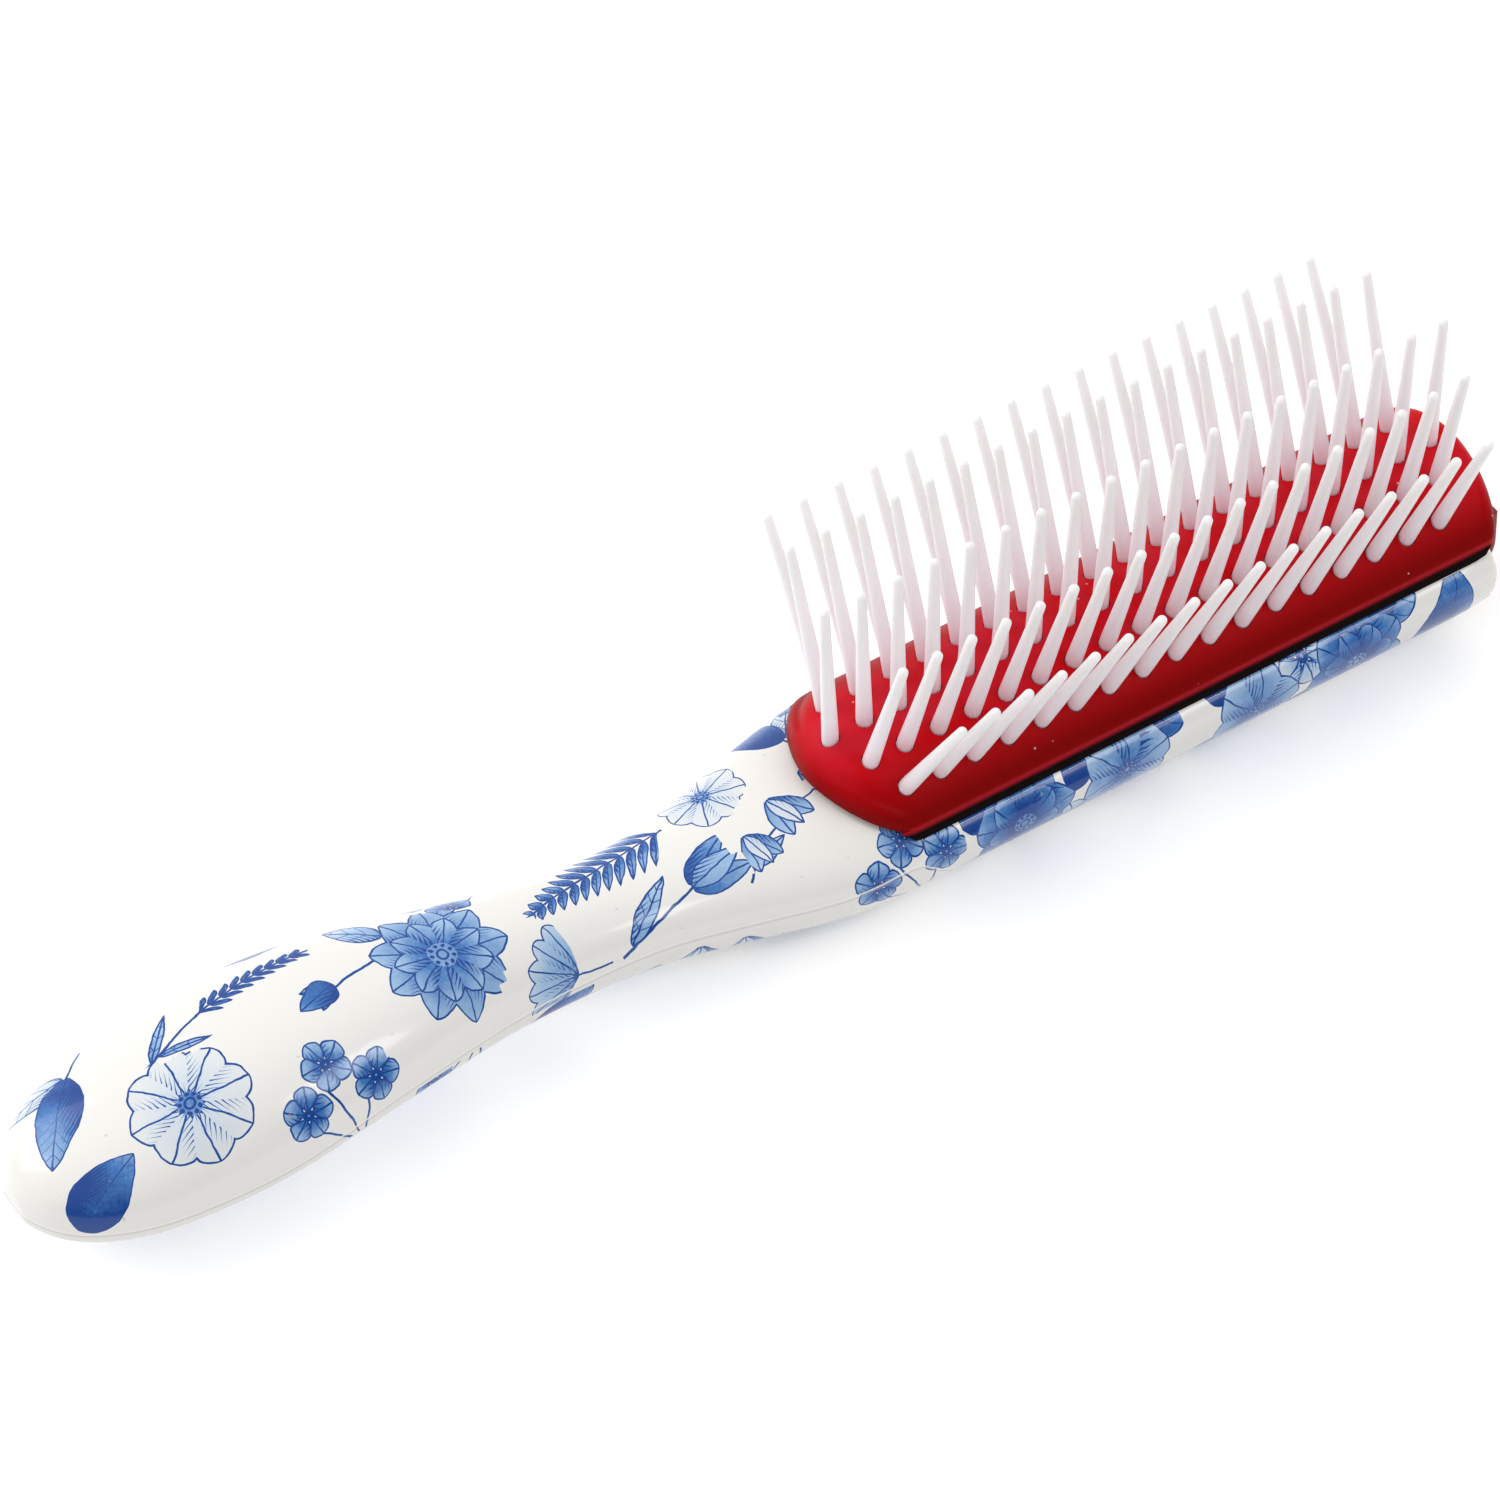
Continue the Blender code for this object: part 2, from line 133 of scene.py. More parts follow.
world = bpy.data.worlds.new("light_tent")
bpy.context.scene.world = world
world.use_nodes = True
tent = world.node_tree
direction = tent.nodes.new("ShaderNodeTexCoord")
towards = tent.nodes.new("ShaderNodeVectorMath")
towards.operation = "DOT_PRODUCT"
towards.inputs[1].default_value = TENT_DIRECTION
glow = tent.nodes.new("ShaderNodeMapRange")
glow.interpolation_type = "SMOOTHSTEP"
for socket, value in TENT_GLOW.items():
    glow.inputs[socket].default_value = value
background = tent.nodes["Background"]
background.inputs["Color"].default_value = WHITE
tent.links.new(direction.outputs["Generated"], towards.inputs[0])
tent.links.new(towards.outputs["Value"], glow.inputs["Value"])
tent.links.new(glow.outputs[0], background.inputs["Strength"])
for name, (place, power, width) in LAMPS.items():
    bpy.ops.object.light_add(type="AREA", location=place)
    lamp = bpy.context.object
    lamp.name = name
    lamp.data.energy = power
    lamp.data.size = width
    lamp.rotation_euler = (-Vector(place)).to_track_quat("-Z", "Y").to_euler()
print("a light tent with", len(LAMPS), "lamps")

# %% [markdown]
# The photograph's paper is blown out to plain white. The floor's own colour is nearly white, and a little
# light that only the camera and mirror-like surfaces see lifts it the rest of the way, so that the floor
# stays white and still takes the brush's soft shadow.

# %% Floor
FLOOR_SIZE = 6.0
FLOOR_DROP = 0.02
FLOOR_COLOUR = (0.93, 0.93, 0.93, 1.0)
FLOOR_ROUGHNESS = 0.9
FLOOR_LIFT = 0.3

bpy.ops.mesh.primitive_plane_add(size=FLOOR_SIZE, location=(0, 0, cad_box[0].z - FLOOR_DROP * MM))
floor = bpy.context.object
floor.name = "paper_floor"
bpy.ops.object.transform_apply(location=True, rotation=True, scale=True)
paper = bpy.data.materials.new("white_paper")
paper.use_nodes = True
nodes, links = paper.node_tree.nodes, paper.node_tree.links
shader = nodes["Principled BSDF"]
shader.inputs["Base Color"].default_value = FLOOR_COLOUR
shader.inputs["Roughness"].default_value = FLOOR_ROUGHNESS
shader.inputs["Emission Color"].default_value = WHITE
path = nodes.new("ShaderNodeLightPath")
seen = path.outputs["Is Camera Ray"]
for ray in ("Is Glossy Ray", "Is Transmission Ray"):
    either = nodes.new("ShaderNodeMath")
    either.operation = "MAXIMUM"
    links.new(seen, either.inputs[0])
    links.new(path.outputs[ray], either.inputs[1])
    seen = either.outputs[0]
lift = nodes.new("ShaderNodeMath")
lift.operation = "MULTIPLY"
lift.inputs[1].default_value = FLOOR_LIFT
links.new(seen, lift.inputs[0])
links.new(lift.outputs[0], shader.inputs["Emission Strength"])
floor.data.materials.append(paper)
print("floor", FLOOR_SIZE, "m wide")

# %% [markdown]
# ## Helpers
# An operator in edit mode works on whatever is selected, so each step starts with nothing selected and then
# picks vertices by their place, as one would with a box selection.

# %% Selecting and editing
# Points closer than the first of these count as one, and places closer than the second as the same
MERGE = 0.001
NEAR = 0.01


def only(thing):
    """Selects one object alone and makes it the active one."""
    bpy.ops.object.select_all(action="DESELECT")
    thing.select_set(True)
    bpy.context.view_layer.objects.active = thing


def open_mesh(thing):
    """Goes into edit mode on one mesh with nothing selected."""
    only(thing)
    bpy.ops.object.mode_set(mode="EDIT")
    bpy.ops.mesh.select_mode(type="VERT")
    bpy.ops.mesh.select_all(action="DESELECT")


def close_mesh():
    bpy.ops.object.mode_set(mode="OBJECT")


def pick(thing, test):
    """Selects the vertices whose place in millimetres passes a test."""
    shape = bmesh.from_edit_mesh(thing.data)
    for vertex in shape.verts:
        vertex.select = test(vertex.co / MM)
    shape.select_flush_mode()
    bmesh.update_edit_mesh(thing.data)


def pick_parts(thing, kind, test):
    """Selects the edges or the faces that pass a test, and nothing else."""
    bpy.ops.mesh.select_all(action="DESELECT")
    bpy.ops.mesh.select_mode(type=kind)
    shape = bmesh.from_edit_mesh(thing.data)
    for part in shape.edges if kind == "EDGE" else shape.faces:
        part.select = test(part)
    shape.select_flush_mode()
    bmesh.update_edit_mesh(thing.data)


def slice_off(place, direction):
    """Cuts the open mesh with a plane, drops what lies beyond it, and closes the cut."""
    bpy.ops.mesh.select_all(action="SELECT")
    bpy.ops.mesh.bisect(plane_co=Vector(place) * MM, plane_no=direction, use_fill=True, clear_outer=True,
                        threshold=MERGE * MM)


def turn_outwards():
    """Makes all faces of the open mesh point outwards."""
    bpy.ops.mesh.select_all(action="SELECT")
    bpy.ops.mesh.normals_make_consistent(inside=False)


def named(name):
    """Names the object that was just added, and puts its place and size into its mesh."""
    thing = bpy.context.object
    thing.name = thing.data.name = name
    bpy.ops.object.transform_apply(location=True, rotation=True, scale=True)
    return thing


def block(name, low, high):
    """A box between two corners in millimetres."""
    low, high = Vector(low), Vector(high)
    bpy.ops.mesh.primitive_cube_add(size=1.0, location=(low + high) / 2 * MM, scale=(high - low) * MM)
    return named(name)


def apply_modifier(thing, kind, **settings):
    """Adds a modifier, sets it up and applies it."""
    only(thing)
    modifier = thing.modifiers.new(kind.lower(), kind)
    for key, value in settings.items():
        setattr(modifier, key, value)
    bpy.ops.object.modifier_apply(modifier=modifier.name)


def combine(thing, helper, operation):
    """Adds or cuts away a helper shape, which is used up."""
    apply_modifier(thing, "BOOLEAN", operation=operation, object=helper, solver="MANIFOLD")
    bpy.data.objects.remove(helper, do_unlink=True)


def cut(thing, helper):
    combine(thing, helper, "DIFFERENCE")


def weld(thing, helper):
    combine(thing, helper, "UNION")


def smooth(thing, degrees=35):
    """Smooth shading, with edges sharper than an angle kept crisp."""
    only(thing)
    bpy.ops.object.shade_smooth_by_angle(angle=math.radians(degrees))


def triangles(thing):
    return sum(len(face.vertices) - 2 for face in thing.data.polygons)


# %% [markdown]
# Several pieces are drawn in the same way: a loop of points is extruded again and again, and after
# each step its points go to their next places, which a rule gives. One helper does that, and closes the ends.

# %% Extruding from ring to ring


def fuller(value, fullness):
    """A sine or cosine swelled for an oval that is fuller than an ellipse, which has a fullness of 2."""
    return math.copysign(abs(value) ** (2 / fullness), value)


def place_points(thing, ring, points):
    shape = bmesh.from_edit_mesh(thing.data)
    shape.verts.ensure_lookup_table()
    for index, point in zip(ring, points):
        shape.verts[index].co = Vector(point) * MM
    bmesh.update_edit_mesh(thing.data)


def grown_ring(thing, ring):
    """The points that the last extrusion made, in the order of the points that they grew from."""
    shape = bmesh.from_edit_mesh(thing.data)
    shape.verts.index_update()
    shape.verts.ensure_lookup_table()
    grown = []
    for index in ring:
        old = shape.verts[index]
        grown.append(next(e.other_vert(old).index for e in old.link_edges if e.other_vert(old).select))
    return grown


def loft(name, rings):
    """A closed skin over a row of rings that have the same number of points."""
    bpy.ops.object.select_all(action="DESELECT")
    bpy.ops.mesh.primitive_circle_add(vertices=len(rings[0]), radius=MM)
    thing = named(name)
    open_mesh(thing)
    bpy.ops.mesh.select_all(action="SELECT")
    ring = list(range(len(rings[0])))
    place_points(thing, ring, rings[0])
    for points in rings[1:]:
        bpy.ops.mesh.extrude_edges_move()
        ring = grown_ring(thing, ring)
        place_points(thing, ring, points)
    bpy.ops.mesh.select_all(action="SELECT")
    bpy.ops.mesh.fill_holes(sides=0)
    turn_outwards()
    close_mesh()
    return thing


# %% [markdown]
# ## The handle
# Grip, neck and head are one moulding, so they are one mesh. Its section is a soft egg: a flatter upper half
# and a fuller back, which meet at the parting line. A circle is shaped into that section once, and then
# extruded along the brush a few millimetres at a time. After each step its upper and lower halves are
# resized about the parting line, as one would by hand between two sketches of the side and the top.

# %% The handle's measured sections
# Share of the grip's length from the butt, half width, top, parting line and bottom heights, in millimetres
GRIP_STATIONS = (
    (0.121, 13.0, 19.9, 11.2, 8.0),
    (0.260, 14.2, 22.3, 11.8, 9.4),
    (0.428, 12.3, 21.9, 12.8, 8.4),
    (0.595, 8.7, 18.9, 10.8, 5.8),
    (0.762, 7.8, 15.3, 9.1, 3.0),
    (0.874, 10.0, 14.8, 8.3, 1.4),
    (0.985, 13.4, 15.4, 8.6, 0.3),
)
HEAD_RUN_IN = 10.4
HEAD_SECTION = (14.7, 15.7, 10.5, -0.2)
BUTT_ROUND = 16.0
BUTT_FULLNESS = 1.9
UPPER_FULLNESS = 2.3
LOWER_FULLNESS = 2.1
HEAD_START = GRIP_LENGTH + HEAD_RUN_IN


def round_off(distance, length, power=2.0):
    """The share of full size at a distance from a rounded end, from 0 at the end to 1."""
    left = max(0.0, 1.0 - distance / length)
    return max(0.0, 1.0 - left ** power) ** (1.0 / power)


def along_grip(distance):
    """Half width, top, parting line and bottom at a distance from the butt, on smooth curves."""
    stations = [(share * GRIP_LENGTH, *sizes) for share, *sizes in GRIP_STATIONS]
    stations.append((HEAD_START, *HEAD_SECTION))
    if distance >= HEAD_START:
        return HEAD_SECTION
    places = [station[0] for station in stations]
    span = 0
    while span < len(places) - 2 and distance > places[span + 1]:
        span += 1
    width = places[span + 1] - places[span]
    t = (distance - places[span]) / width

    def slope(k, column):
        if k == len(stations) - 1:
            return 0.0
        before, after = stations[max(k - 1, 0)], stations[k + 1]
        return (after[column] - before[column]) / (after[0] - before[0])

    values = []
    for column in range(1, 5):
        a, b = stations[span][column], stations[span + 1][column]
        sa, sb = slope(span, column) * width, slope(span + 1, column) * width
        curve = (2 * t ** 3 - 3 * t ** 2 + 1) * a + (t ** 3 - 2 * t ** 2 + t) * sa
        curve += (3 * t ** 2 - 2 * t ** 3) * b + (t ** 3 - t ** 2) * sb
        values.append(curve)
    return tuple(values)


def section_sizes(distance):
    """Half width, height above and depth below the parting line, and the parting line's height."""
    half, top, seam, bottom = along_grip(distance)
    swell = round_off(distance, BUTT_ROUND, UPPER_FULLNESS)
    half *= round_off(distance, BUTT_ROUND, BUTT_FULLNESS)
    return half, (top - seam) * swell, (seam - bottom) * swell, seam


# %% Draw the section and extrude it along the brush
RING_POINTS = 32
FIRST_RING = 0.25
BUTT_RINGS, GRIP_RINGS, HEAD_RINGS = 7, 21, 7
HEAD_RING_START, HEAD_RING_STEP = 2, 14
START_RADIUS = 10.0
# A subdivided ring shrinks towards the inside of its cage by this much, so the cage is made larger
CAGE = 3.0 / (2.0 + math.cos(2 * math.pi / RING_POINTS))


def shape_section(thing, x, seam):
    """Pulls a circle out to the handle's fuller section: each half has its own fullness."""
    shape = bmesh.from_edit_mesh(thing.data)
    for vertex in shape.verts:
        c, s = vertex.co.y / MM / START_RADIUS, (vertex.co.z / MM - seam) / START_RADIUS
        fullness = UPPER_FULLNESS if s > 0 else LOWER_FULLNESS
        y, z = START_RADIUS * fuller(c, fullness), START_RADIUS * fuller(s, fullness)
        vertex.co = Vector((x, y, seam + z)) * MM
    bmesh.update_edit_mesh(thing.data)


def resize_ring(thing, x, old, new):
    """Takes the ring at x from its old sizes to new ones, the halves apart about the parting line."""
    centre = Vector((x, 0, old[3])) * MM
    steps = (
        (lambda p: True, (1, new[0] / old[0], 1)),
        (lambda p: p.z > old[3] + NEAR, (1, 1, new[1] / old[1])),
        (lambda p: p.z < old[3] - NEAR, (1, 1, new[2] / old[2])),
    )
    for test, share in steps:
        pick(thing, lambda p: abs(p.x - x) < NEAR and test(p))
        bpy.ops.transform.resize(value=share, center_override=centre)
    pick(thing, lambda p: abs(p.x - x) < NEAR)
    bpy.ops.transform.translate(value=Vector((0, 0, new[3] - old[3])) * MM)


def cage_sizes(distance):
    """The cage's sizes at a distance from the butt, in the order of section_sizes."""
    *sizes, seam = section_sizes(distance)
    return (*(CAGE * size for size in sizes), seam)


butt_rings = [BUTT_ROUND * (1 - math.cos(math.pi / 2 * k / BUTT_RINGS)) for k in range(1, BUTT_RINGS + 1)]
grip_rings = [BUTT_ROUND + (HEAD_START - BUTT_ROUND) * k / GRIP_RINGS for k in range(1, GRIP_RINGS + 1)]
head_rings = [HEAD_START + HEAD_RING_START + HEAD_RING_STEP * k for k in range(HEAD_RINGS)]
places = [FIRST_RING] + butt_rings + grip_rings + head_rings
first_x = BUTT_X + FIRST_RING
sizes = cage_sizes(FIRST_RING)
first_seam = sizes[3]

bpy.ops.object.select_all(action="DESELECT")
bpy.ops.mesh.primitive_circle_add(
    vertices=RING_POINTS, radius=START_RADIUS * MM, rotation=(0, math.pi / 2, 0),
    location=Vector((first_x, 0, first_seam)) * MM)
handle = named("printed_handle")
open_mesh(handle)
shape_section(handle, first_x, first_seam)
resize_ring(handle, first_x, (START_RADIUS, START_RADIUS, START_RADIUS, first_seam), sizes)
for before, place in zip(places, places[1:]):
    old, sizes = sizes, cage_sizes(place)
    step = Vector((place - before, 0, 0)) * MM
    bpy.ops.mesh.extrude_edges_move(TRANSFORM_OT_translate={"value": step})
    resize_ring(handle, BUTT_X + place, old, sizes)
close_mesh()
print(f"{len(places)} rings of {RING_POINTS} points")

# %% [markdown]
# The small first ring is closed with a face that is poked into a point, the tip of the butt. Subdivision then
# rounds the whole cage. What is left to do by hand is the flat that the brush lies on, and the head's square
# toe: both are cut with a bisecting plane, and the toe's rim gets a small round.

# %% Close the ends, subdivide, and cut the flat and the toe
BUTT_TIP = 0.35
SUBDIVISIONS = 2
TOE_EDGE_ROUND = 0.9
TOE_EDGE_STEPS = 4

open_mesh(handle)
pick(handle, lambda p: p.x < first_x + NEAR)
bpy.ops.mesh.edge_face_add()
bpy.ops.mesh.poke()
pick(handle, lambda p: (p - Vector((first_x, 0, first_seam))).length < 10 * NEAR)
bpy.ops.transform.translate(value=(-BUTT_TIP * MM, 0, 0))
pick(handle, lambda p: p.x > BUTT_X + places[-1] - NEAR)
bpy.ops.mesh.edge_face_add()
turn_outwards()
close_mesh()
apply_modifier(handle, "SUBSURF", levels=SUBDIVISIONS, render_levels=SUBDIVISIONS)
open_mesh(handle)
slice_off((0, 0, 0), (0, 0, -1))
slice_off((TOE_X, 0, 0), (1, 0, 0))
pick_parts(handle, "EDGE", lambda edge: min(vertex.co.x for vertex in edge.verts) > (TOE_X - NEAR) * MM)
bpy.ops.mesh.bevel(offset=TOE_EDGE_ROUND * MM, segments=TOE_EDGE_STEPS, affect="EDGES")
close_mesh()
print("handle blank:", triangles(handle), "triangles")

# %% [markdown]
# The head is opened from above. First the bed that the pad lies on is milled flat, with a round end where
# it runs into the grip. Then come the channel between the rails, the undercut grooves that hold the pad's
# tongues, and the half-round hollow below. Each cutter is a plain block, cylinder or ball of the right size.

# %% Open the head
PAD_HALF_WIDTH = 12.4
HANDLE_END_ROUND = 7.8
HANDLE_END_FULLNESS = 1.7
RAIL_TOP_Z = 13.35
RAIL_HALF_GAP = 10.6
GROOVE_HALF_WIDTH = 12.3
GROOVE_TOP_Z = 12.0
GROOVE_FLOOR_Z = 9.6
BED_MARGIN = 1.1
BED_SHOULDER = 7.5
CHANNEL_START = 7.5
HOLLOW_HALF_WIDTH = 11.2
HOLLOW_TOP_Z = 10.6
HOLLOW_FLOOR_Z = 2.4
HOLLOW_ROUND = 12.0
HOLLOW_SIDES = 64
BED_END_POINTS = 96
BEYOND = 10.0
WIDE = 20.0

channel_x = PAD_X + CHANNEL_START
beyond_x = TOE_X + BEYOND
hollow_depth = HOLLOW_TOP_Z - HOLLOW_FLOOR_Z


def bed_end(height):
    """The bed's round end in plan: the pad's own oval, drawn in by a margin."""
    ring = []
    for i in range(BED_END_POINTS):
        turn = 2 * math.pi * i / BED_END_POINTS
        x = HANDLE_END_ROUND - (HANDLE_END_ROUND - BED_MARGIN) * fuller(math.cos(turn), HANDLE_END_FULLNESS)
        y = (PAD_HALF_WIDTH - BED_MARGIN) * fuller(math.sin(turn), HANDLE_END_FULLNESS)
        ring.append((PAD_X + x, y, height))
    return ring


def lower_half(name):
    """Names a new round cutter and keeps the half of it below the hollow's top."""
    thing = named(name)
    open_mesh(thing)
    slice_off((0, 0, HOLLOW_TOP_Z), (0, 0, 1))
    close_mesh()
    return thing


cut(handle, loft("bed_end", [bed_end(RAIL_TOP_Z), bed_end(WIDE + BEYOND)]))
cut(handle, block("bed", (PAD_X + BED_SHOULDER, -WIDE, RAIL_TOP_Z), (beyond_x, WIDE, WIDE + BEYOND)))
cut(handle, block("throat", (channel_x, -RAIL_HALF_GAP, GROOVE_FLOOR_Z + 1), (beyond_x, RAIL_HALF_GAP, WIDE)))
cut(handle, block("groove", (channel_x, -GROOVE_HALF_WIDTH, GROOVE_FLOOR_Z),
                  (beyond_x, GROOVE_HALF_WIDTH, GROOVE_TOP_Z)))

bpy.ops.mesh.primitive_uv_sphere_add(
    segments=HOLLOW_SIDES, ring_count=HOLLOW_SIDES // 2, radius=1.0,
    location=Vector((channel_x + HOLLOW_ROUND, 0, HOLLOW_TOP_Z)) * MM,
    scale=Vector((HOLLOW_ROUND, HOLLOW_HALF_WIDTH, hollow_depth)) * MM)
cut(handle, lower_half("hollow_end"))
run = beyond_x - channel_x - HOLLOW_ROUND
bpy.ops.mesh.primitive_cylinder_add(
    vertices=HOLLOW_SIDES, radius=1.0, depth=run * MM, rotation=(0, math.pi / 2, 0),
    location=Vector((beyond_x - run / 2, 0, HOLLOW_TOP_Z)) * MM,
    scale=(hollow_depth * MM, HOLLOW_HALF_WIDTH * MM, 1.0))
cut(handle, lower_half("hollow"))
print("opened head:", triangles(handle), "triangles")

# %% [markdown]
# A moulded rail has no razor edge. Its outer top edge is found by its height and by the angle between its
# two faces, and gets a small bevel, which catches a fine line of light along the whole head.

# %% Round the rails' outer edges
RAIL_EDGE_ROUND = 0.3
RAIL_EDGE_STEPS = 3
RAIL_ROUND_START = PAD_X + BED_SHOULDER + 1.2
RAIL_ROUND_END = TOE_X - 1.9
CLOSE_POINTS = 0.02
SHARP = math.radians(25)


def outer_rail_edge(edge):
    """Whether an edge is a sharp one along the outside of a rail's top."""
    a, b = (vertex.co / MM for vertex in edge.verts)
    level = max(abs(a.z - RAIL_TOP_Z), abs(b.z - RAIL_TOP_Z)) < NEAR
    outside = min(abs(a.y), abs(b.y)) > PAD_HALF_WIDTH
    within = min(a.x, b.x) > RAIL_ROUND_START and max(a.x, b.x) < RAIL_ROUND_END
    return level and outside and within and len(edge.link_faces) == 2 and edge.calc_face_angle() > SHARP


open_mesh(handle)
bpy.ops.mesh.select_all(action="SELECT")
bpy.ops.mesh.remove_doubles(threshold=CLOSE_POINTS * MM)
pick_parts(handle, "EDGE", outer_rail_edge)
bpy.ops.mesh.bevel(offset=RAIL_EDGE_ROUND * MM, segments=RAIL_EDGE_STEPS, affect="EDGES")
close_mesh()
print("rounded rails:", triangles(handle), "triangles")

# %% [markdown]
# The toe's end is a flat face in the shape of a deep letter U, which the cutters left in two faces that lie
# on each other. Both are deleted, and the open outline is filled again with triangles.

# %% Fill the toe's end again
SQUARE_ON = 0.99


def toe_end_face(face):
    """Whether a face looks along the brush and lies at the very toe."""
    return abs(face.normal.x) > SQUARE_ON and face.calc_center_median().x > (TOE_X - 10 * NEAR) * MM


open_mesh(handle)
pick_parts(handle, "FACE", toe_end_face)
bpy.ops.mesh.delete(type="FACE")
bpy.ops.mesh.select_mode(type="EDGE")
bpy.ops.mesh.select_non_manifold(extend=False)
bpy.ops.mesh.fill()
turn_outwards()
shape = bmesh.from_edit_mesh(handle.data)
print("edges without two faces:", sum(len(edge.link_faces) != 2 for edge in shape.edges))
close_mesh()

# %% [markdown]
# The cutting left long narrow faces down the straight head. The print will be laid on face by face, so the
# head is sliced across every few millimetres. Its shape stays the same.

# %% Slice the head across
SLICE = 2.37

open_mesh(handle)
place = BUTT_X + HEAD_START
while place < TOE_X - SLICE:
    bpy.ops.mesh.select_all(action="SELECT")
    bpy.ops.mesh.bisect(plane_co=(place * MM, 0, 0), plane_no=(1, 0, 0), threshold=MERGE * MM)
    place += SLICE
close_mesh()
smooth(handle, 30)
print("handle:", triangles(handle), "triangles")

# %% [markdown]
# ## The rubber pad
# The pad is a soft arch with a thin lip all round. Its plan has straight sides, a pointed oval end at the
# grip and a blunt one at the toe. A ring of that outline is extruded from the middle of the underside out to
# the rim, round the lip's edge, and over the top to the middle again. Rubber has no square corners, so the
# height of every point comes from one smooth rule instead of from many small moves.

# %% The pad's outline and its arch
CROWN_Z = 21.9
CROWN_RADIUS = 14.6
LIP_THICKNESS = 0.8
LIP_CENTRE_Z = 16.2
LIP_ARCH_RADIUS = 39.4
TOE_END_ROUND = 4.4
HANDLE_END_ROLL = 4.5
TOE_END_ROLL = 2.2
OUTLINE_POINTS = 80
SIDE_STEPS = 60


def crown(y):
    """Height of the pad's crown at a distance from the middle line."""
    return CROWN_Z - CROWN_RADIUS + math.sqrt(CROWN_RADIUS ** 2 - y ** 2)


def lip_underside(y):
    """Height of the lip's underside, a shallow arch across the pad."""
    return LIP_CENTRE_Z - LIP_ARCH_RADIUS + math.sqrt(LIP_ARCH_RADIUS ** 2 - y ** 2)


def pad_outline():
    """The pad's plan as a closed loop: the toe's end, a side, the pointed oval end, a side."""
    quarter = OUTLINE_POINTS // 4
    handle_centre, toe_centre = HANDLE_END_ROUND, PAD_LENGTH - TOE_END_ROUND
    loop = []
    for i in range(-quarter, quarter):
        turn = math.pi / 2 * i / quarter
        loop.append((toe_centre + TOE_END_ROUND * math.cos(turn), PAD_HALF_WIDTH * math.sin(turn)))
    for i in range(SIDE_STEPS):
        loop.append((toe_centre + (handle_centre - toe_centre) * i / SIDE_STEPS, PAD_HALF_WIDTH))
    for i in range(-quarter, quarter):
        turn = math.pi / 2 * i / quarter
        loop.append((handle_centre - HANDLE_END_ROUND * fuller(math.cos(turn), HANDLE_END_FULLNESS),
                     -PAD_HALF_WIDTH * fuller(math.sin(turn), HANDLE_END_FULLNESS)))
    for i in range(SIDE_STEPS):
        loop.append((handle_centre + (toe_centre - handle_centre) * i / SIDE_STEPS, -PAD_HALF_WIDTH))
    return loop


def end_rise(x, y):
    """How far the crown has risen at a point of the pad, from 0 on the rim of an end to 1."""
    edge = PAD_HALF_WIDTH - abs(y)
    from_handle = x - HANDLE_END_ROUND * (1 - round_off(edge, PAD_HALF_WIDTH, HANDLE_END_FULLNESS))
    from_toe = PAD_LENGTH - x - TOE_END_ROUND * (1 - round_off(edge, PAD_HALF_WIDTH))
    return round_off(from_handle, HANDLE_END_ROLL) * round_off(from_toe, TOE_END_ROLL)


def pad_top(x, y):
    """Height of the pad's upper face above the table."""
    lip_top = lip_underside(y) + LIP_THICKNESS
    return lip_top + (crown(y) - lip_top) * end_rise(x, y)


# %% Extrude it from the underside over the rim to the top
RIM_ROUND = 0.35
RIM_STEPS = 4
TOP_RINGS = 30
TOP_CROWDING = 1.3
UNDER_RINGS = 6
# The last ring stops this share of a step short of the middle
LAST_RING = 0.3
# A shallow fold inside the lip, round both corners of the handle's end: inset, depth, half width, and reach
CREASE_INSET = 1.25
CREASE_DEPTH = 0.55
CREASE_WIDTH = 0.38
CREASE_FROM, CREASE_TO = 1.6, 7.4

outline = pad_outline()
rim_turns = [math.pi / 2 * k / RIM_STEPS for k in range(RIM_STEPS + 1)]


def crease(x, y, inset):
    """How far the fold lowers the pad's top at a point."""
    across = math.exp(-((inset - CREASE_INSET) / CREASE_WIDTH) ** 2)
    middle, reach = (CREASE_FROM + CREASE_TO) / 2, (CREASE_TO - CREASE_FROM) / 2
    along = max(0.0, 1 - ((x - middle) / reach) ** 2) if abs(y) > PAD_HALF_WIDTH / 3 else 0.0
    return CREASE_DEPTH * across * along ** 0.5


def pad_row(inset, height):
    """One ring of the pad: the outline drawn in by an inset, at the height that a rule gives."""
    length_share = 1 - 2 * inset / PAD_LENGTH
    width_share = 1 - inset / PAD_HALF_WIDTH
    middle = PAD_LENGTH / 2
    ring = []
    for x, y in outline:
        x, y = middle + (x - middle) * length_share, y * width_share
        ring.append((PAD_X + x, y, height(x, y)))
    return ring


rows = []
for k in range(UNDER_RINGS, 0, -1):
    rows.append(pad_row(PAD_HALF_WIDTH * k / (UNDER_RINGS + LAST_RING), lambda x, y: lip_underside(y)))
for turn in rim_turns:
    inset = RIM_ROUND * (1 - math.sin(turn))
    rows.append(pad_row(inset, lambda x, y: lip_underside(y) + RIM_ROUND * (1 - math.cos(turn))))
for turn in rim_turns:
    inset = RIM_ROUND * (1 - math.cos(turn))
    rows.append(pad_row(inset, lambda x, y: pad_top(x, y) - RIM_ROUND * (1 - math.sin(turn))))
for k in range(1, TOP_RINGS + 1):
    inset = RIM_ROUND + (PAD_HALF_WIDTH - RIM_ROUND) * (k / (TOP_RINGS + LAST_RING)) ** TOP_CROWDING
    rows.append(pad_row(inset, lambda x, y: pad_top(x, y) - crease(x, y, inset)))
pad = loft("rubber_pad_skin", rows)
print("pad skin:", triangles(pad), "triangles,", len(outline), "points round")
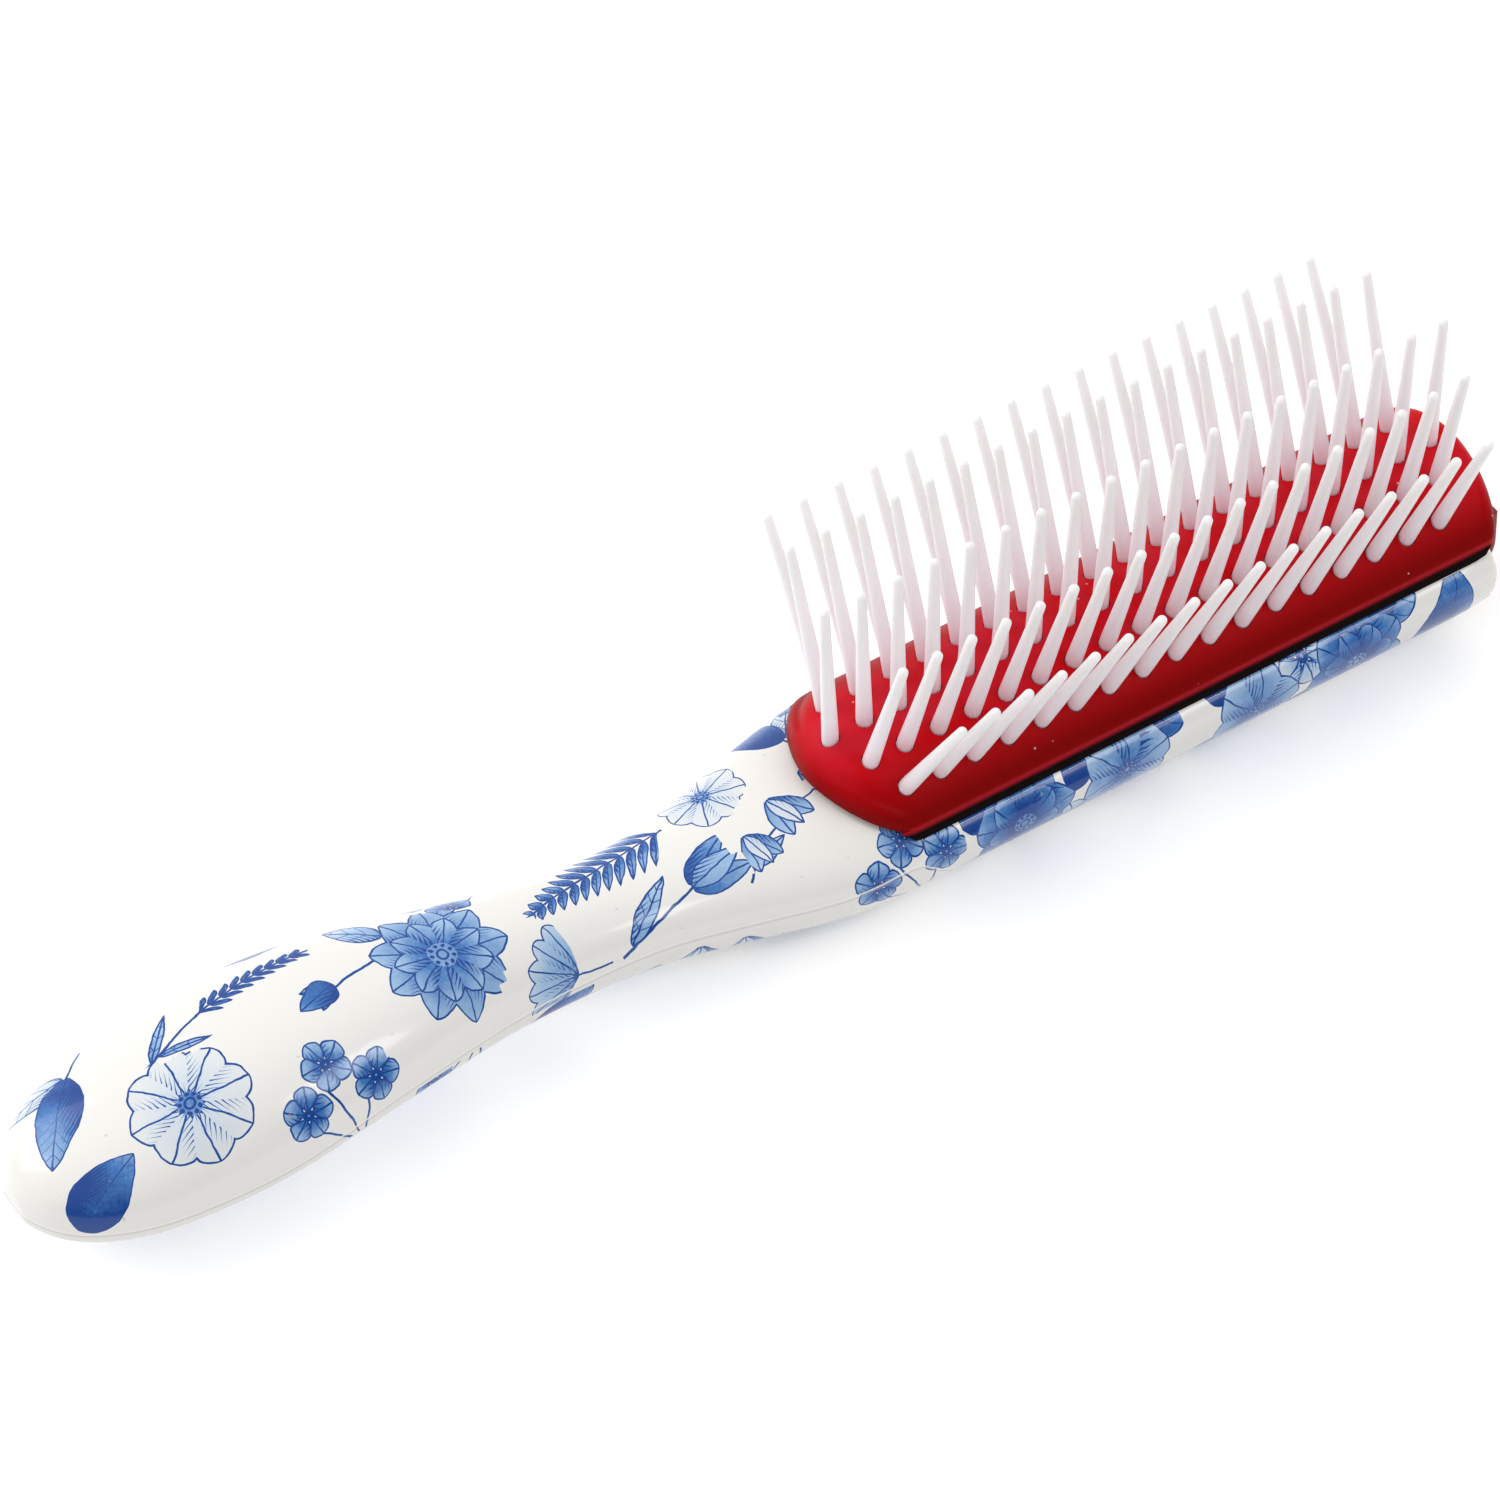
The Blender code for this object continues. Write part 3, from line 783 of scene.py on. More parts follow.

# %% [markdown]
# Under the lip, a neck on each side passes between the head's rails, and its tongue runs in the groove
# below. A skirt fills the corner between the neck and the lip, just clear of the rail. From the lip's edge a
# thin apron rolls down over the rail, and fades out where the pad's sides end; the rubber's material paints
# it nearly black, as painted shade under the lip. A plug with a swollen face closes the trough at the toe.

# %% Tongues, skirts and aprons
CLEARANCE = 0.3
NECK_THICKNESS = 1.4
SKIRT_INSET = 0.35
NECK_HALF_WIDTH = RAIL_HALF_GAP - CLEARANCE
TONGUE_HALF_WIDTH = GROOVE_HALF_WIDTH - CLEARANCE
SKIRT_HALF_WIDTH = PAD_HALF_WIDTH - SKIRT_INSET
# The apron's section from its root in the lip round to its thin lower edge and back, across and up
APRON_SECTION = (
    (11.8, 14.78), (12.33, 14.62), (12.62, 14.22), (13.0, 13.47), (12.8, 13.5), (12.2, 13.65), (11.8, 13.65),
)
# How far from the pad's start, and from the toe, it has what share of its full reach
APRON_START = ((5.4, 0.05), (6.2, 0.5), (7.0, 0.92), (8.2, 1.0))
APRON_END = ((3.0, 1.0), (1.4, 0.9), (0.4, 0.5))


def side_block(name, side, inner, outer, low, high):
    """A block along the pad between two distances from the middle line, on one side."""
    ends = sorted((side * inner, side * outer))
    return block(name, (channel_x + CLEARANCE, ends[0], low), (TOE_X, ends[1], high))


def apron(side):
    """The rolled edge that hangs from the lip over one rail."""
    spans = [(PAD_X + x, share) for x, share in APRON_START] + [(TOE_X - x, share) for x, share in APRON_END]
    (root_y, root_z), rings = APRON_SECTION[0], []
    for x, share in spans:
        rings.append([(x, side * (root_y + (y - root_y) * share), root_z + (z - root_z) * share)
                      for y, z in APRON_SECTION])
    return loft("apron", rings)


for side in (1, -1):
    inner = NECK_HALF_WIDTH - NECK_THICKNESS
    foot_z = GROOVE_FLOOR_Z + CLEARANCE
    under_lip = lip_underside(SKIRT_HALF_WIDTH) + LIP_THICKNESS / 2
    neck = side_block("neck", side, inner, NECK_HALF_WIDTH, foot_z, lip_underside(inner) + LIP_THICKNESS)
    weld(neck, side_block("tongue", side, inner, TONGUE_HALF_WIDTH, foot_z, GROOVE_TOP_Z - CLEARANCE))
    weld(neck, side_block("skirt", side, inner, SKIRT_HALF_WIDTH, RAIL_TOP_Z + CLEARANCE, under_lip))
    weld(pad, neck)
for side in (1, -1):
    weld(pad, apron(side))
print("pad with tongues:", triangles(pad), "triangles")

# %% Plug
PLUG_THICKNESS = 4.5
PLUG_NOSE = 3.2
PLUG_NOSE_SIZE = 0.8
PLUG_POINTS = 32
NOSE_STEPS = 8


def plug_ring(x):
    """One section of the plug: half round below, straight sides and a flat top."""
    bulge = math.sqrt(1 - max(0.0, x / PLUG_NOSE) ** 2)
    size = PLUG_NOSE_SIZE + (1 - PLUG_NOSE_SIZE) * bulge
    depth = (HOLLOW_TOP_Z - HOLLOW_FLOOR_Z - CLEARANCE) * size
    top = HOLLOW_TOP_Z + (LIP_CENTRE_Z + LIP_THICKNESS / 2 - HOLLOW_TOP_Z) * size ** 2
    half = NECK_HALF_WIDTH * size
    ring = []
    for i in range(PLUG_POINTS + 1):
        turn = math.pi + math.pi * i / PLUG_POINTS
        ring.append((TOE_X + x, half * math.cos(turn), HOLLOW_TOP_Z + depth * math.sin(turn)))
    return ring + [(TOE_X + x, half, top), (TOE_X + x, -half, top)]


nose = [PLUG_NOSE * math.sin(math.pi / 2 * k / NOSE_STEPS) for k in range(NOSE_STEPS + 1)]
weld(pad, loft("toe_plug", [plug_ring(x) for x in [-PLUG_THICKNESS] + nose]))
print("pad with tongues and plug:", triangles(pad), "triangles")

# %% [markdown]
# ## The pins
# Each row of pins is one nylon moulding: a thin bar that lies in a slot under the pad, with tapered pins
# that come up through holes. The rows fan out across the arch. Rubber gives, so no pin stands quite as its
# neighbour does, and each row has a lean along the brush and across it that changes smoothly from end to end.

# %% The rows
PIN_PITCH = 4.75
FIRST_PIN = 3.4
PIN_ROOT_RADIUS = 1.1
PIN_TIP_RADIUS = 0.62
SKIN = 2.6
SLOT_REACH = 4.0
BAR_HALF_WIDTH = 1.1
BAR_THICKNESS = 1.5
BAR_END = 1.5
PINS = 19
# Distance from the middle line, lean from upright, and height above the pad
MIDDLE_ROW = (0.0, 0.0, 21.7)
INNER_ROW = (5.0, 16.2, 22.7)
OUTER_ROW = (9.0, 26.1, 23.3)
# Name, side, shape of the row, pins, start in pitches, and degrees of lean towards the toe and the far side,
# each as a curve from the row's first pin to its last: square term, linear term, start
ROWS = (
    ("pin_strip_1", 1, OUTER_ROW, PINS - 2, 1.0, (-3.5, 3.9, -0.7), (2.5, -5.9, 2.8)),
    ("pin_strip_2", 1, INNER_ROW, PINS - 1, 0.5, (-5.9, 6.2, -0.5), (-6.1, 3.6, 1.2)),
    ("pin_strip_3", 0, MIDDLE_ROW, PINS, 0.0, (-10.5, 12.3, -1.0), (2.8, -7.1, 1.4)),
    ("pin_strip_4", -1, INNER_ROW, PINS - 1, 0.5, (0.5, -1.9, 0.6), (8.3, -3.6, -0.5)),
    ("pin_strip_5", -1, OUTER_ROW, PINS - 2, 1.0, (-1.0, -0.1, 0.5), (-3.2, 9.6, -2.9)),
)


def row_frame(row):
    """Where a row's first pin leaves the pad, turned so that local Z runs up the pins."""
    _, side, (offset, lean, _), _, start, _, _ = row
    place = Vector((PAD_X + FIRST_PIN + start * PIN_PITCH, side * offset, crown(offset))) * MM
    return Matrix.Translation(place) @ Matrix.Rotation(math.radians(-side * lean), 4, "X")


def pin_stand(row, index):
    """How a pin stands in its row's frame: its place along the row and its own small lean."""
    number, along, across = row[3], row[5], row[6]
    share = index / (number - 1)
    along, across = (math.radians(a * share ** 2 + b * share + c) for a, b, c in (along, across))
    lean = Matrix.Rotation(-across, 4, "X") @ Matrix.Rotation(along, 4, "Y")
    return Matrix.Translation((index * PIN_PITCH * MM, 0, 0)) @ lean


# %% [markdown]
# One pin is modelled and copied: a cone whose tip is extruded and narrowed step by step into a dome. Each
# point also keeps its height up the pin as an attribute, because the nylon's colour is painted from that:
# near the pad, a painted pink glow stands in for the red light of the rubber.

# %% Model one pin
PIN_SIDES = 20
PIN_RINGS = 6
# How far round the dome each ring at the tip lies, in degrees
DOME_STEPS = (20, 40, 58, 74, 86)


def model_pin(height):
    """A tapered pin that stands on the pad at the origin, its root hidden below."""
    root = SKIN + CLEARANCE + BAR_THICKNESS / 2
    straight = height - PIN_TIP_RADIUS
    bpy.ops.object.select_all(action="DESELECT")
    bpy.ops.mesh.primitive_cone_add(
        vertices=PIN_SIDES, radius1=PIN_ROOT_RADIUS * MM, radius2=PIN_TIP_RADIUS * MM,
        depth=(root + straight) * MM, location=(0, 0, (straight - root) / 2 * MM))
    pin = named("one_pin")
    open_mesh(pin)
    for k in range(PIN_RINGS):
        ring = (0, 0, straight * k / PIN_RINGS * MM)
        bpy.ops.mesh.select_all(action="SELECT")
        bpy.ops.mesh.bisect(plane_co=ring, plane_no=(0, 0, 1), threshold=MERGE * MM)
    pick_parts(pin, "FACE", lambda face: face.normal.z > SQUARE_ON)
    before = 0.0
    for degrees in DOME_STEPS:
        turn = math.radians(degrees)
        rise = PIN_TIP_RADIUS * (math.sin(turn) - math.sin(before)) * MM
        bpy.ops.mesh.extrude_region_move(TRANSFORM_OT_translate={"value": (0, 0, rise)})
        share = math.cos(turn) / math.cos(before)
        bpy.ops.transform.resize(value=(share, share, 1))
        before = turn
    close_mesh()
    heights = pin.data.attributes.new("up_the_pin", "FLOAT", "POINT")
    heights.data.foreach_set("value", [vertex.co.z / MM / height for vertex in pin.data.vertices])
    return pin


def copies_along(row, thing):
    """Copies a shape to every pin of a row, each with that pin's lean, and joins the copies."""
    copies = [thing]
    for index in range(1, row[3]):
        copy = thing.copy()
        copy.data = thing.data.copy()
        bpy.context.collection.objects.link(copy)
        copies.append(copy)
    bpy.ops.object.select_all(action="DESELECT")
    for index, copy in enumerate(copies):
        copy.data.transform(pin_stand(row, index))
        copy.select_set(True)
    bpy.context.view_layer.objects.active = thing
    bpy.ops.object.join()
    return thing


# %% Copy it along the rows, and open the pad for each row
HOLE_EASE = 0.05


def bar_block(row, name, grow, thickness):
    """A bar under a row of pins, or the slot for it when it is grown by a clearance."""
    top = grow - (SKIN + CLEARANCE)
    half, end = BAR_HALF_WIDTH + grow, BAR_END + grow
    return block(name, (-end, -half, top - thickness), ((row[3] - 1) * PIN_PITCH + end, half, top))


def make_row(row):
    """A bar with its pins, as one piece."""
    bar = bar_block(row, row[0] + "_nylon", 0.0, BAR_THICKNESS)
    weld(bar, copies_along(row, model_pin(row[2][2])))
    bar.data.transform(row_frame(row))
    smooth(bar)
    return bar


def open_pad(row):
    """Cuts the slot for a row's bar and the holes that its pins come up through."""
    slot = bar_block(row, "slot", CLEARANCE, BAR_THICKNESS + SLOT_REACH)
    slot.data.transform(row_frame(row))
    cut(pad, slot)
    low, high = -(SKIN + BAR_THICKNESS), SKIN
    bpy.ops.object.select_all(action="DESELECT")
    bpy.ops.mesh.primitive_cylinder_add(
        vertices=PIN_SIDES, radius=(PIN_ROOT_RADIUS + HOLE_EASE) * MM, depth=(high - low) * MM,
        location=(0, 0, (low + high) / 2 * MM))
    holes = copies_along(row, named("holes"))
    holes.data.transform(row_frame(row))
    cut(pad, holes)


strips = [make_row(row) for row in ROWS]
for row, strip in zip(ROWS, strips):
    open_pad(row)
    print(strip.name, triangles(strip), "triangles")
print("pad with slots and holes:", triangles(pad), "triangles")

# %% [markdown]
# ## The floral print
# The handle wears a blue floral print on ivory plastic, in fine lines with engraved shading. No picture file
# is used. Each motif is a small formula: a petal or a leaf is a blade whose width swells and closes along its
# length, a flower is one blade repeated round a centre, and a frond is one blade repeated along a stem. Long
# node setups get hard to read, so two helpers let the formulas be written as plain sums: a value stands for a
# node's output, and each sum with it adds the next node.

# %% Formulas as nodes


class Value:
    """A node's output, which can be reckoned with like a number."""

    def __init__(self, graph, socket):
        self.graph, self.socket = graph, socket

    def __add__(self, other):
        return self.graph.math("ADD", self, other)

    def __sub__(self, other):
        return self.graph.math("SUBTRACT", self, other)

    def __rsub__(self, other):
        return self.graph.math("SUBTRACT", other, self)

    def __mul__(self, other):
        return self.graph.math("MULTIPLY", self, other)

    def __truediv__(self, other):
        return self.graph.math("DIVIDE", self, other)

    def __pow__(self, other):
        return self.graph.math("POWER", self, other)

    def __abs__(self):
        return self.graph.math("ABSOLUTE", self)

    def times_plus(self, factor, rest):
        return self.graph.math("MULTIPLY_ADD", self, factor, rest)

    def clamped(self, low, high):
        """0 at low, 1 at high, a straight rise or fall between them, and level beyond."""
        return self.graph.add("MapRange", self, low, high, 0.0, 1.0)

    def share(self):
        """The value kept between 0 and 1."""
        return self.graph.add("Clamp", self, 0.0, 1.0)

    def parts(self):
        """The three numbers of a place."""
        sockets = self.graph.add("SeparateXYZ", self).socket.node.outputs
        return [Value(self.graph, socket) for socket in sockets]

    def moved(self, x, y, degrees=0.0, size=1.0):
        """The same place as seen from a point that is turned and scaled."""
        return self.graph.add("Mapping", self, (x, y, 0.0), (0.0, 0.0, math.radians(degrees)),
                              (size, size, 1.0), vector_type="TEXTURE")

    def length(self):
        return self.graph.add("VectorMath", self, output=1, operation="LENGTH")

    def noise(self, scale, detail=2.0, output=0):
        return self.graph.add("TexNoise", self, None, scale, detail, output=output)


class Graph:
    """A new material. Its methods add nodes and link them."""

    def __init__(self, name, sockets):
        self.material = bpy.data.materials.new(name)
        self.material.use_nodes = True
        self.tree = self.material.node_tree
        self.shader = self.tree.nodes["Principled BSDF"]
        for socket, value in sockets.items():
            self.shader.inputs[socket].default_value = value

    def add(self, kind, *values, output=0, **settings):
        """A new node with its settings. Its inputs are linked or set in their order."""
        node = self.tree.nodes.new("ShaderNode" + kind)
        for key, value in settings.items():
            setattr(node, key, value)
        for socket, value in zip(node.inputs, values):
            if isinstance(value, Value):
                self.tree.links.new(value.socket, socket)
            elif value is not None:
                socket.default_value = value
        return Value(self, node.outputs[output])

    def math(self, operation, *values):
        return self.add("Math", *values, operation=operation)

    def joined(self, x, y):
        return self.add("CombineXYZ", x, y, 0.0)

    def mix(self, share, below, above):
        """A share of one colour laid over another."""
        return self.add("MixRGB", share, below, above)

    def place(self):
        """Where a point lies on its object."""
        return self.add("TexCoord", output=3)

    def attribute(self, name):
        return self.add("Attribute", output=2, attribute_name=name)

    def feed(self, socket, value):
        """Links a value to one of the shader's sockets."""
        self.tree.links.new(value.socket, self.shader.inputs[socket])

    def bump(self, height, strength, depth):
        """Gives the surface a bump of a depth in millimetres."""
        self.feed("Normal", self.add("Bump", strength, depth * MM, None, height))


def most(value, *others):
    """The greatest of some values."""
    for other in others:
        value = value.graph.math("MAXIMUM", value, other)
    return value


# %% [markdown]
# A blade is drawn with its foot at the origin and its tip on the X axis. Its ink is the darkest of four
# things: an outline of even width, a middle rib, side veins, and fine hatching that is denser at the foot
# and on one side, as an engraver shades a petal. A drawing is a pair, its ink and its body, so that a blade
# in front can hide what lies behind it.

# %% A blade
LINE = 0.17
RIB = (0.12, 0.05)
VEIN = (0.12, 0.04)
VEIN_SLANT = 1.1
HATCH_PITCH = 0.42
HATCH_SLANT = 0.35
SLOPE_STEP = 0.02
# How far an inked edge takes to fade out
SOFT = 0.05
# How much weaker a blade's tint is at its tip than at its foot
FADE = 1.1


def blade(place, length, width, fullness=0.8, tip=0.75, veins=1.6, shade=0.5, wash=0.16):
    g = place.graph
    x, y, _ = place.parts()
    along = (x / length).share()

    def half_width(share):
        swell = g.math("SINE", share ** fullness * math.pi)
        return most(swell, 0.0) ** tip * (width / 2)

    half = half_width(along)
    slope = (half_width((along + SLOPE_STEP).share()) - half) / (SLOPE_STEP * length)
    off = abs(y)
    inside = (half - off) / g.math("SQRT", slope.times_plus(slope, 1.0))
    body = inside.clamped(0.0, SOFT)
    outline = body - inside.clamped(LINE * 0.8, LINE * 1.4)
    rib = off.clamped(*RIB)
    vein = g.math("PINGPONG", off.times_plus(-VEIN_SLANT, x), veins / 2).clamped(*VEIN)
    ruled = g.math("PINGPONG", x.times_plus(HATCH_SLANT, y), HATCH_PITCH / 2)
    dark = (1.15 - along).times_plus(y.clamped(-width * 0.35, width * 0.3), -0.25)
    hatch = (dark * (HATCH_PITCH * shade) - ruled).clamped(0.0, SOFT)
    tint = along.times_plus(-FADE, 1.0 + FADE / 2) * wash
    filled = most(rib * 0.85, vein * 0.6, hatch * 0.75, tint)
    return most(outline, body * filled), body


# %% [markdown]
# The other helpers arrange blades. Polar coordinates fold the plane round a centre, so that one petal is
# drawn many times. A frond does the same along a stem. Laying one drawing over another keeps the front one.

# %% Flowers, stems and fronds
HEART_DOTS = 9


def over(*drawings):
    """Lays drawings over each other, the first in front."""
    ink, body = drawings[0]
    for behind_ink, behind_body in drawings[1:]:
        ink = most(ink, behind_ink * (1.0 - body))
        body = most(body, behind_body)
    return ink, body


def turned_round(place, count, phase=0.0):
    """Folds the plane round a centre, so that what lies on the X axis is seen a number of times."""
    g, sector = place.graph, 2 * math.pi / count
    x, y, _ = place.parts()
    angle = g.math("ARCTAN2", y, x) + phase * sector
    folded = g.math("FLOORED_MODULO", angle, sector) - sector / 2
    reach = place.length()
    return g.joined(reach * g.math("COSINE", folded), reach * g.math("SINE", folded))


def heart_of(place, heart):
    """The dotted middle of a flower."""
    dot = turned_round(place, HEART_DOTS).moved(heart * 0.78, 0.0).length().clamped(0.27, 0.17)
    reach = place.length()
    disc = reach.clamped(heart, heart - 0.08)
    ring = abs(reach - heart * 0.4).clamped(0.16, 0.08)
    return disc * most(dot, ring, 0.3), disc


def flower(place, petals, radius, width, heart=1.2, whorls=2, **look):
    """Whorls of petals round a dotted heart, the front ones shorter."""
    drawings = [heart_of(place, heart)]
    foot = heart * 0.6
    for whorl in range(whorls):
        fold = turned_round(place, petals, phase=0.5 * whorl)
        length = radius * (0.72 if whorls - whorl > 1 else 1.0) - foot
        drawings.append(blade(fold.moved(foot, 0.0), length, width * (length + foot) / radius, **look))
    return over(*drawings)


def stem(place, length, bend=0.0, thick=0.13):
    """A line from the origin along X that bends aside as it goes."""
    x, y, _ = place.parts()
    line = abs((x * x).times_plus(-bend, y)).clamped(thick + 0.04, thick - 0.04)
    ink = line * (x.clamped(-0.02, 0.02) * x.clamped(length + 0.02, length - 0.02)) * 0.9
    return ink, ink


def frond(place, length, reach, pitch, lean=52.0, bend=0.0, blunt=0.8, **look):
    """A stem with a blade to each side at every pitch, shorter towards the tip."""
    g, slant = place.graph, math.radians(lean)
    x, y, _ = place.parts()
    y = (x * x).times_plus(-bend, y)
    off = abs(y)
    foot = off.times_plus(-1 / math.tan(slant), x)
    inside = foot.clamped(pitch * 0.3, pitch * 0.3 + 0.04) * foot.clamped(length, length - 0.04)
    across = g.math("FLOORED_MODULO", foot, pitch) - pitch / 2
    size = ((foot / length).share() ** 1.5).times_plus(-blunt, 1.0)
    leaf = g.joined(off / math.sin(slant) / size, across * math.sin(slant))
    ink, body = blade(leaf, reach, pitch * 0.95 * math.sin(slant), **look)
    return over(stem(g.joined(x, y), length + 1.0), (ink * inside, body * inside))


# %% [markdown]
# The motifs are garden and hedgerow plants: a dahlia with its bud, a fern, bellflowers, a cosmos, an ear of
# lavender, a pair of leaves, small five-petalled flowers, a tulip, a broad leaf, a ginkgo leaf, and a dense
# posy for the sides of the head. Each is drawn round the origin, in millimetres.

# %% The motifs
# So wide apart that a blade has no side veins
BARE = 60


def dahlia(p):
    return over(
        flower(p.moved(-2.0, 1.2), 9, 7.2, 4.2, heart=1.5, fullness=1.1, tip=0.7, veins=50, shade=0.8,
               wash=0.3),
        blade(p.moved(-5.5, -2.4, 222), 7.4, 3.8, shade=0.6),
        blade(p.moved(0.4, -4.4, 300), 6.0, 3.2),
        blade(p.moved(8.6, -3.4, 2), 4.6, 3.2, fullness=0.6, veins=50, shade=0.9, wash=0.45),
        blade(p.moved(8.9, -3.4, 30), 3.2, 1.5, shade=0.3),
        blade(p.moved(8.9, -3.4, -28), 3.2, 1.5, shade=0.3),
        stem(p.moved(1.5, -2.2, -14), 7.4, 0.02),
    )


def fern(p):
    return frond(p.moved(-11.5, -1.6, 4), 22.0, 5.6, 1.9, bend=0.006, veins=BARE, shade=1.0, wash=0.34,
                 fullness=0.7)


def bellflowers(p):
    drawings = []
    for x, y, lean, size in ((-6.0, 1.6, 262, 0.9), (-0.6, 2.6, 272, 1.05), (5.0, 2.2, 287, 0.85)):
        bell = p.moved(x, y, lean, size)
        drawings.append(blade(bell, 5.2, 2.3, fullness=0.9, veins=BARE, shade=0.2, wash=0.06))
        for side, shade, wash in ((1, 0.7, 0.3), (-1, 0.6, 0.22)):
            petal = bell.moved(0.0, 0.3 * side, 17 * side)
            drawings.append(blade(petal, 5.4, 2.5, fullness=1.2, veins=BARE, shade=shade, wash=wash))
    drawings.append(stem(p.moved(-10.0, -2.6, 26), 17.5, -0.026))
    drawings.append(blade(p.moved(-8.4, -1.9, 0), 5.4, 1.9, shade=0.6))
    return over(*drawings)


def cosmos(p):
    return flower(p, 8, 5.8, 4.3, whorls=1, fullness=1.5, tip=0.5, veins=40, shade=0.45, wash=0.05)


def lavender(p):
    return over(
        frond(p.moved(-3.0, 0.0, 3), 13.0, 2.3, 1.45, lean=40, bend=-0.01, blunt=0.4, veins=BARE, shade=1.1,
              wash=0.5),
        stem(p.moved(-12.0, -1.0, 6), 9.2),
        blade(p.moved(-10.0, -0.8, 34), 6.6, 1.3, shade=0.3),
        blade(p.moved(-9.0, -0.7, -24), 6.0, 1.2, shade=0.3),
    )


def leaf_pair(p):
    return over(
        blade(p.moved(-4.6, -1.4, 24), 11.0, 5.2, fullness=0.75, veins=1.3, shade=0.95, wash=0.42),
        blade(p.moved(-4.4, -1.8, -34), 8.4, 3.8, fullness=0.75, veins=1.7, shade=0.35, wash=0.06),
        stem(p.moved(-8.4, -2.8, 19), 4.2),
    )


def small_flowers(p):
    heads = ((-3.2, 1.8, 10), (1.6, 3.0, 40), (3.6, -1.6, 65))
    stems = ((76, 8.6, 0.012), (110, 7.4, 0.01), (40, 6.0, 0.03))
    return over(
        *(flower(p.moved(x, y, turn), 5, 2.6, 2.4, heart=0.6, whorls=1, fullness=1.3, tip=0.6, veins=50,
                 shade=0.6, wash=0.32) for x, y, turn in heads),
        *(stem(p.moved(-1.5, -5.6, turn), length, bend, 0.1) for turn, length, bend in stems),
    )


def tulip(p):
    return over(
        blade(p.moved(1.4, 0.0), 6.8, 3.0, fullness=0.9, veins=BARE, wash=0.2),
        blade(p.moved(1.4, 0.4, 15), 7.2, 2.9, fullness=0.75, veins=BARE, shade=0.9, wash=0.38),
        blade(p.moved(1.4, -0.4, -15), 7.2, 2.9, fullness=0.75, veins=BARE, shade=0.7, wash=0.3),
        blade(p.moved(-7.4, -0.5, 24), 8.4, 2.2),
        stem(p.moved(-8.8, -0.8, 4), 10.4),
    )


def broad_leaf(p):
    return blade(p.moved(-6.5, 0.0, 3), 13.0, 7.8, fullness=0.7, veins=1.8, shade=1.35, wash=0.6)


def ginkgo(p):
    middle = p.moved(-3.6, 0.0)
    x, y, _ = middle.parts()
    fan = abs(y).times_plus(-0.34, x).clamped(0.0, 0.1)
    fold = turned_round(middle, 15)
    ink, body = blade(fold, 7.4, 3.2, fullness=1.9, tip=0.5, veins=BARE, shade=0.6, wash=0.18)
    return over((ink * fan, body * fan), stem(p.moved(-8.2, -1.0, 12), 5.0))


def posy(p):
    drawings = [
        flower(p.moved(-6.4, 0.4, 12), 7, 6.2, 4.6, heart=1.3, fullness=1.2, tip=0.6, veins=50, shade=1.0,
               wash=0.5),
        flower(p.moved(6.2, 1.2, 50), 6, 5.4, 4.8, heart=1.0, whorls=1, fullness=1.4, tip=0.55, veins=50,
               shade=0.8, wash=0.3),
        flower(p.moved(0.4, -3.4, 0), 5, 3.6, 3.4, heart=0.8, whorls=1, fullness=1.3, tip=0.6, veins=50,
               wash=0.12),
    ]
    for x, y, turn, length, width, wash in (
            (-10.0, 2.4, 150, 6.4, 3.4, 0.65), (-9.4, -3.0, 205, 6.2, 3.0, 0.3),
            (-0.6, 1.8, 66, 6.4, 3.8, 0.65), (8.4, -2.2, -28, 7.0, 3.6, 0.65),
            (10.0, 3.4, 24, 5.8, 2.8, 0.35), (-3.6, -4.0, 262, 5.4, 3.0, 0.6)):
        drawings.append(blade(p.moved(x, y, turn), length, width, shade=1.2, wash=wash))
    return over(*drawings)


# Each motif with how far it reaches along and across, in millimetres
MOTIFS = {
    "dahlia": (dahlia, 15.0, 10.0),
    "fern": (fern, 13.5, 7.0),
    "bellflowers": (bellflowers, 11.5, 7.0),
    "cosmos": (cosmos, 7.0, 7.0),
    "lavender": (lavender, 13.5, 5.0),
    "leaves": (leaf_pair, 9.8, 7.4),
    "flowers": (small_flowers, 7.4, 8.0),
    "tulip": (tulip, 10.4, 5.6),
    "leaf": (broad_leaf, 8.0, 5.6),
    "ginkgo": (ginkgo, 9.4, 7.4),
    "posy": (posy, 17.0, 10.5),
}
print(len(MOTIFS), "motifs")

# %% [markdown]
# Film laid on a curved handle stretches a little but never tears, and each motif is laid the same way. A
# point is chosen on the surface, and the faces round it take their place on the paper from their direction
# and their distance from that point. The handle is printed from above and from below, so most motifs stop
# dead at the parting line, as they do on the real film.

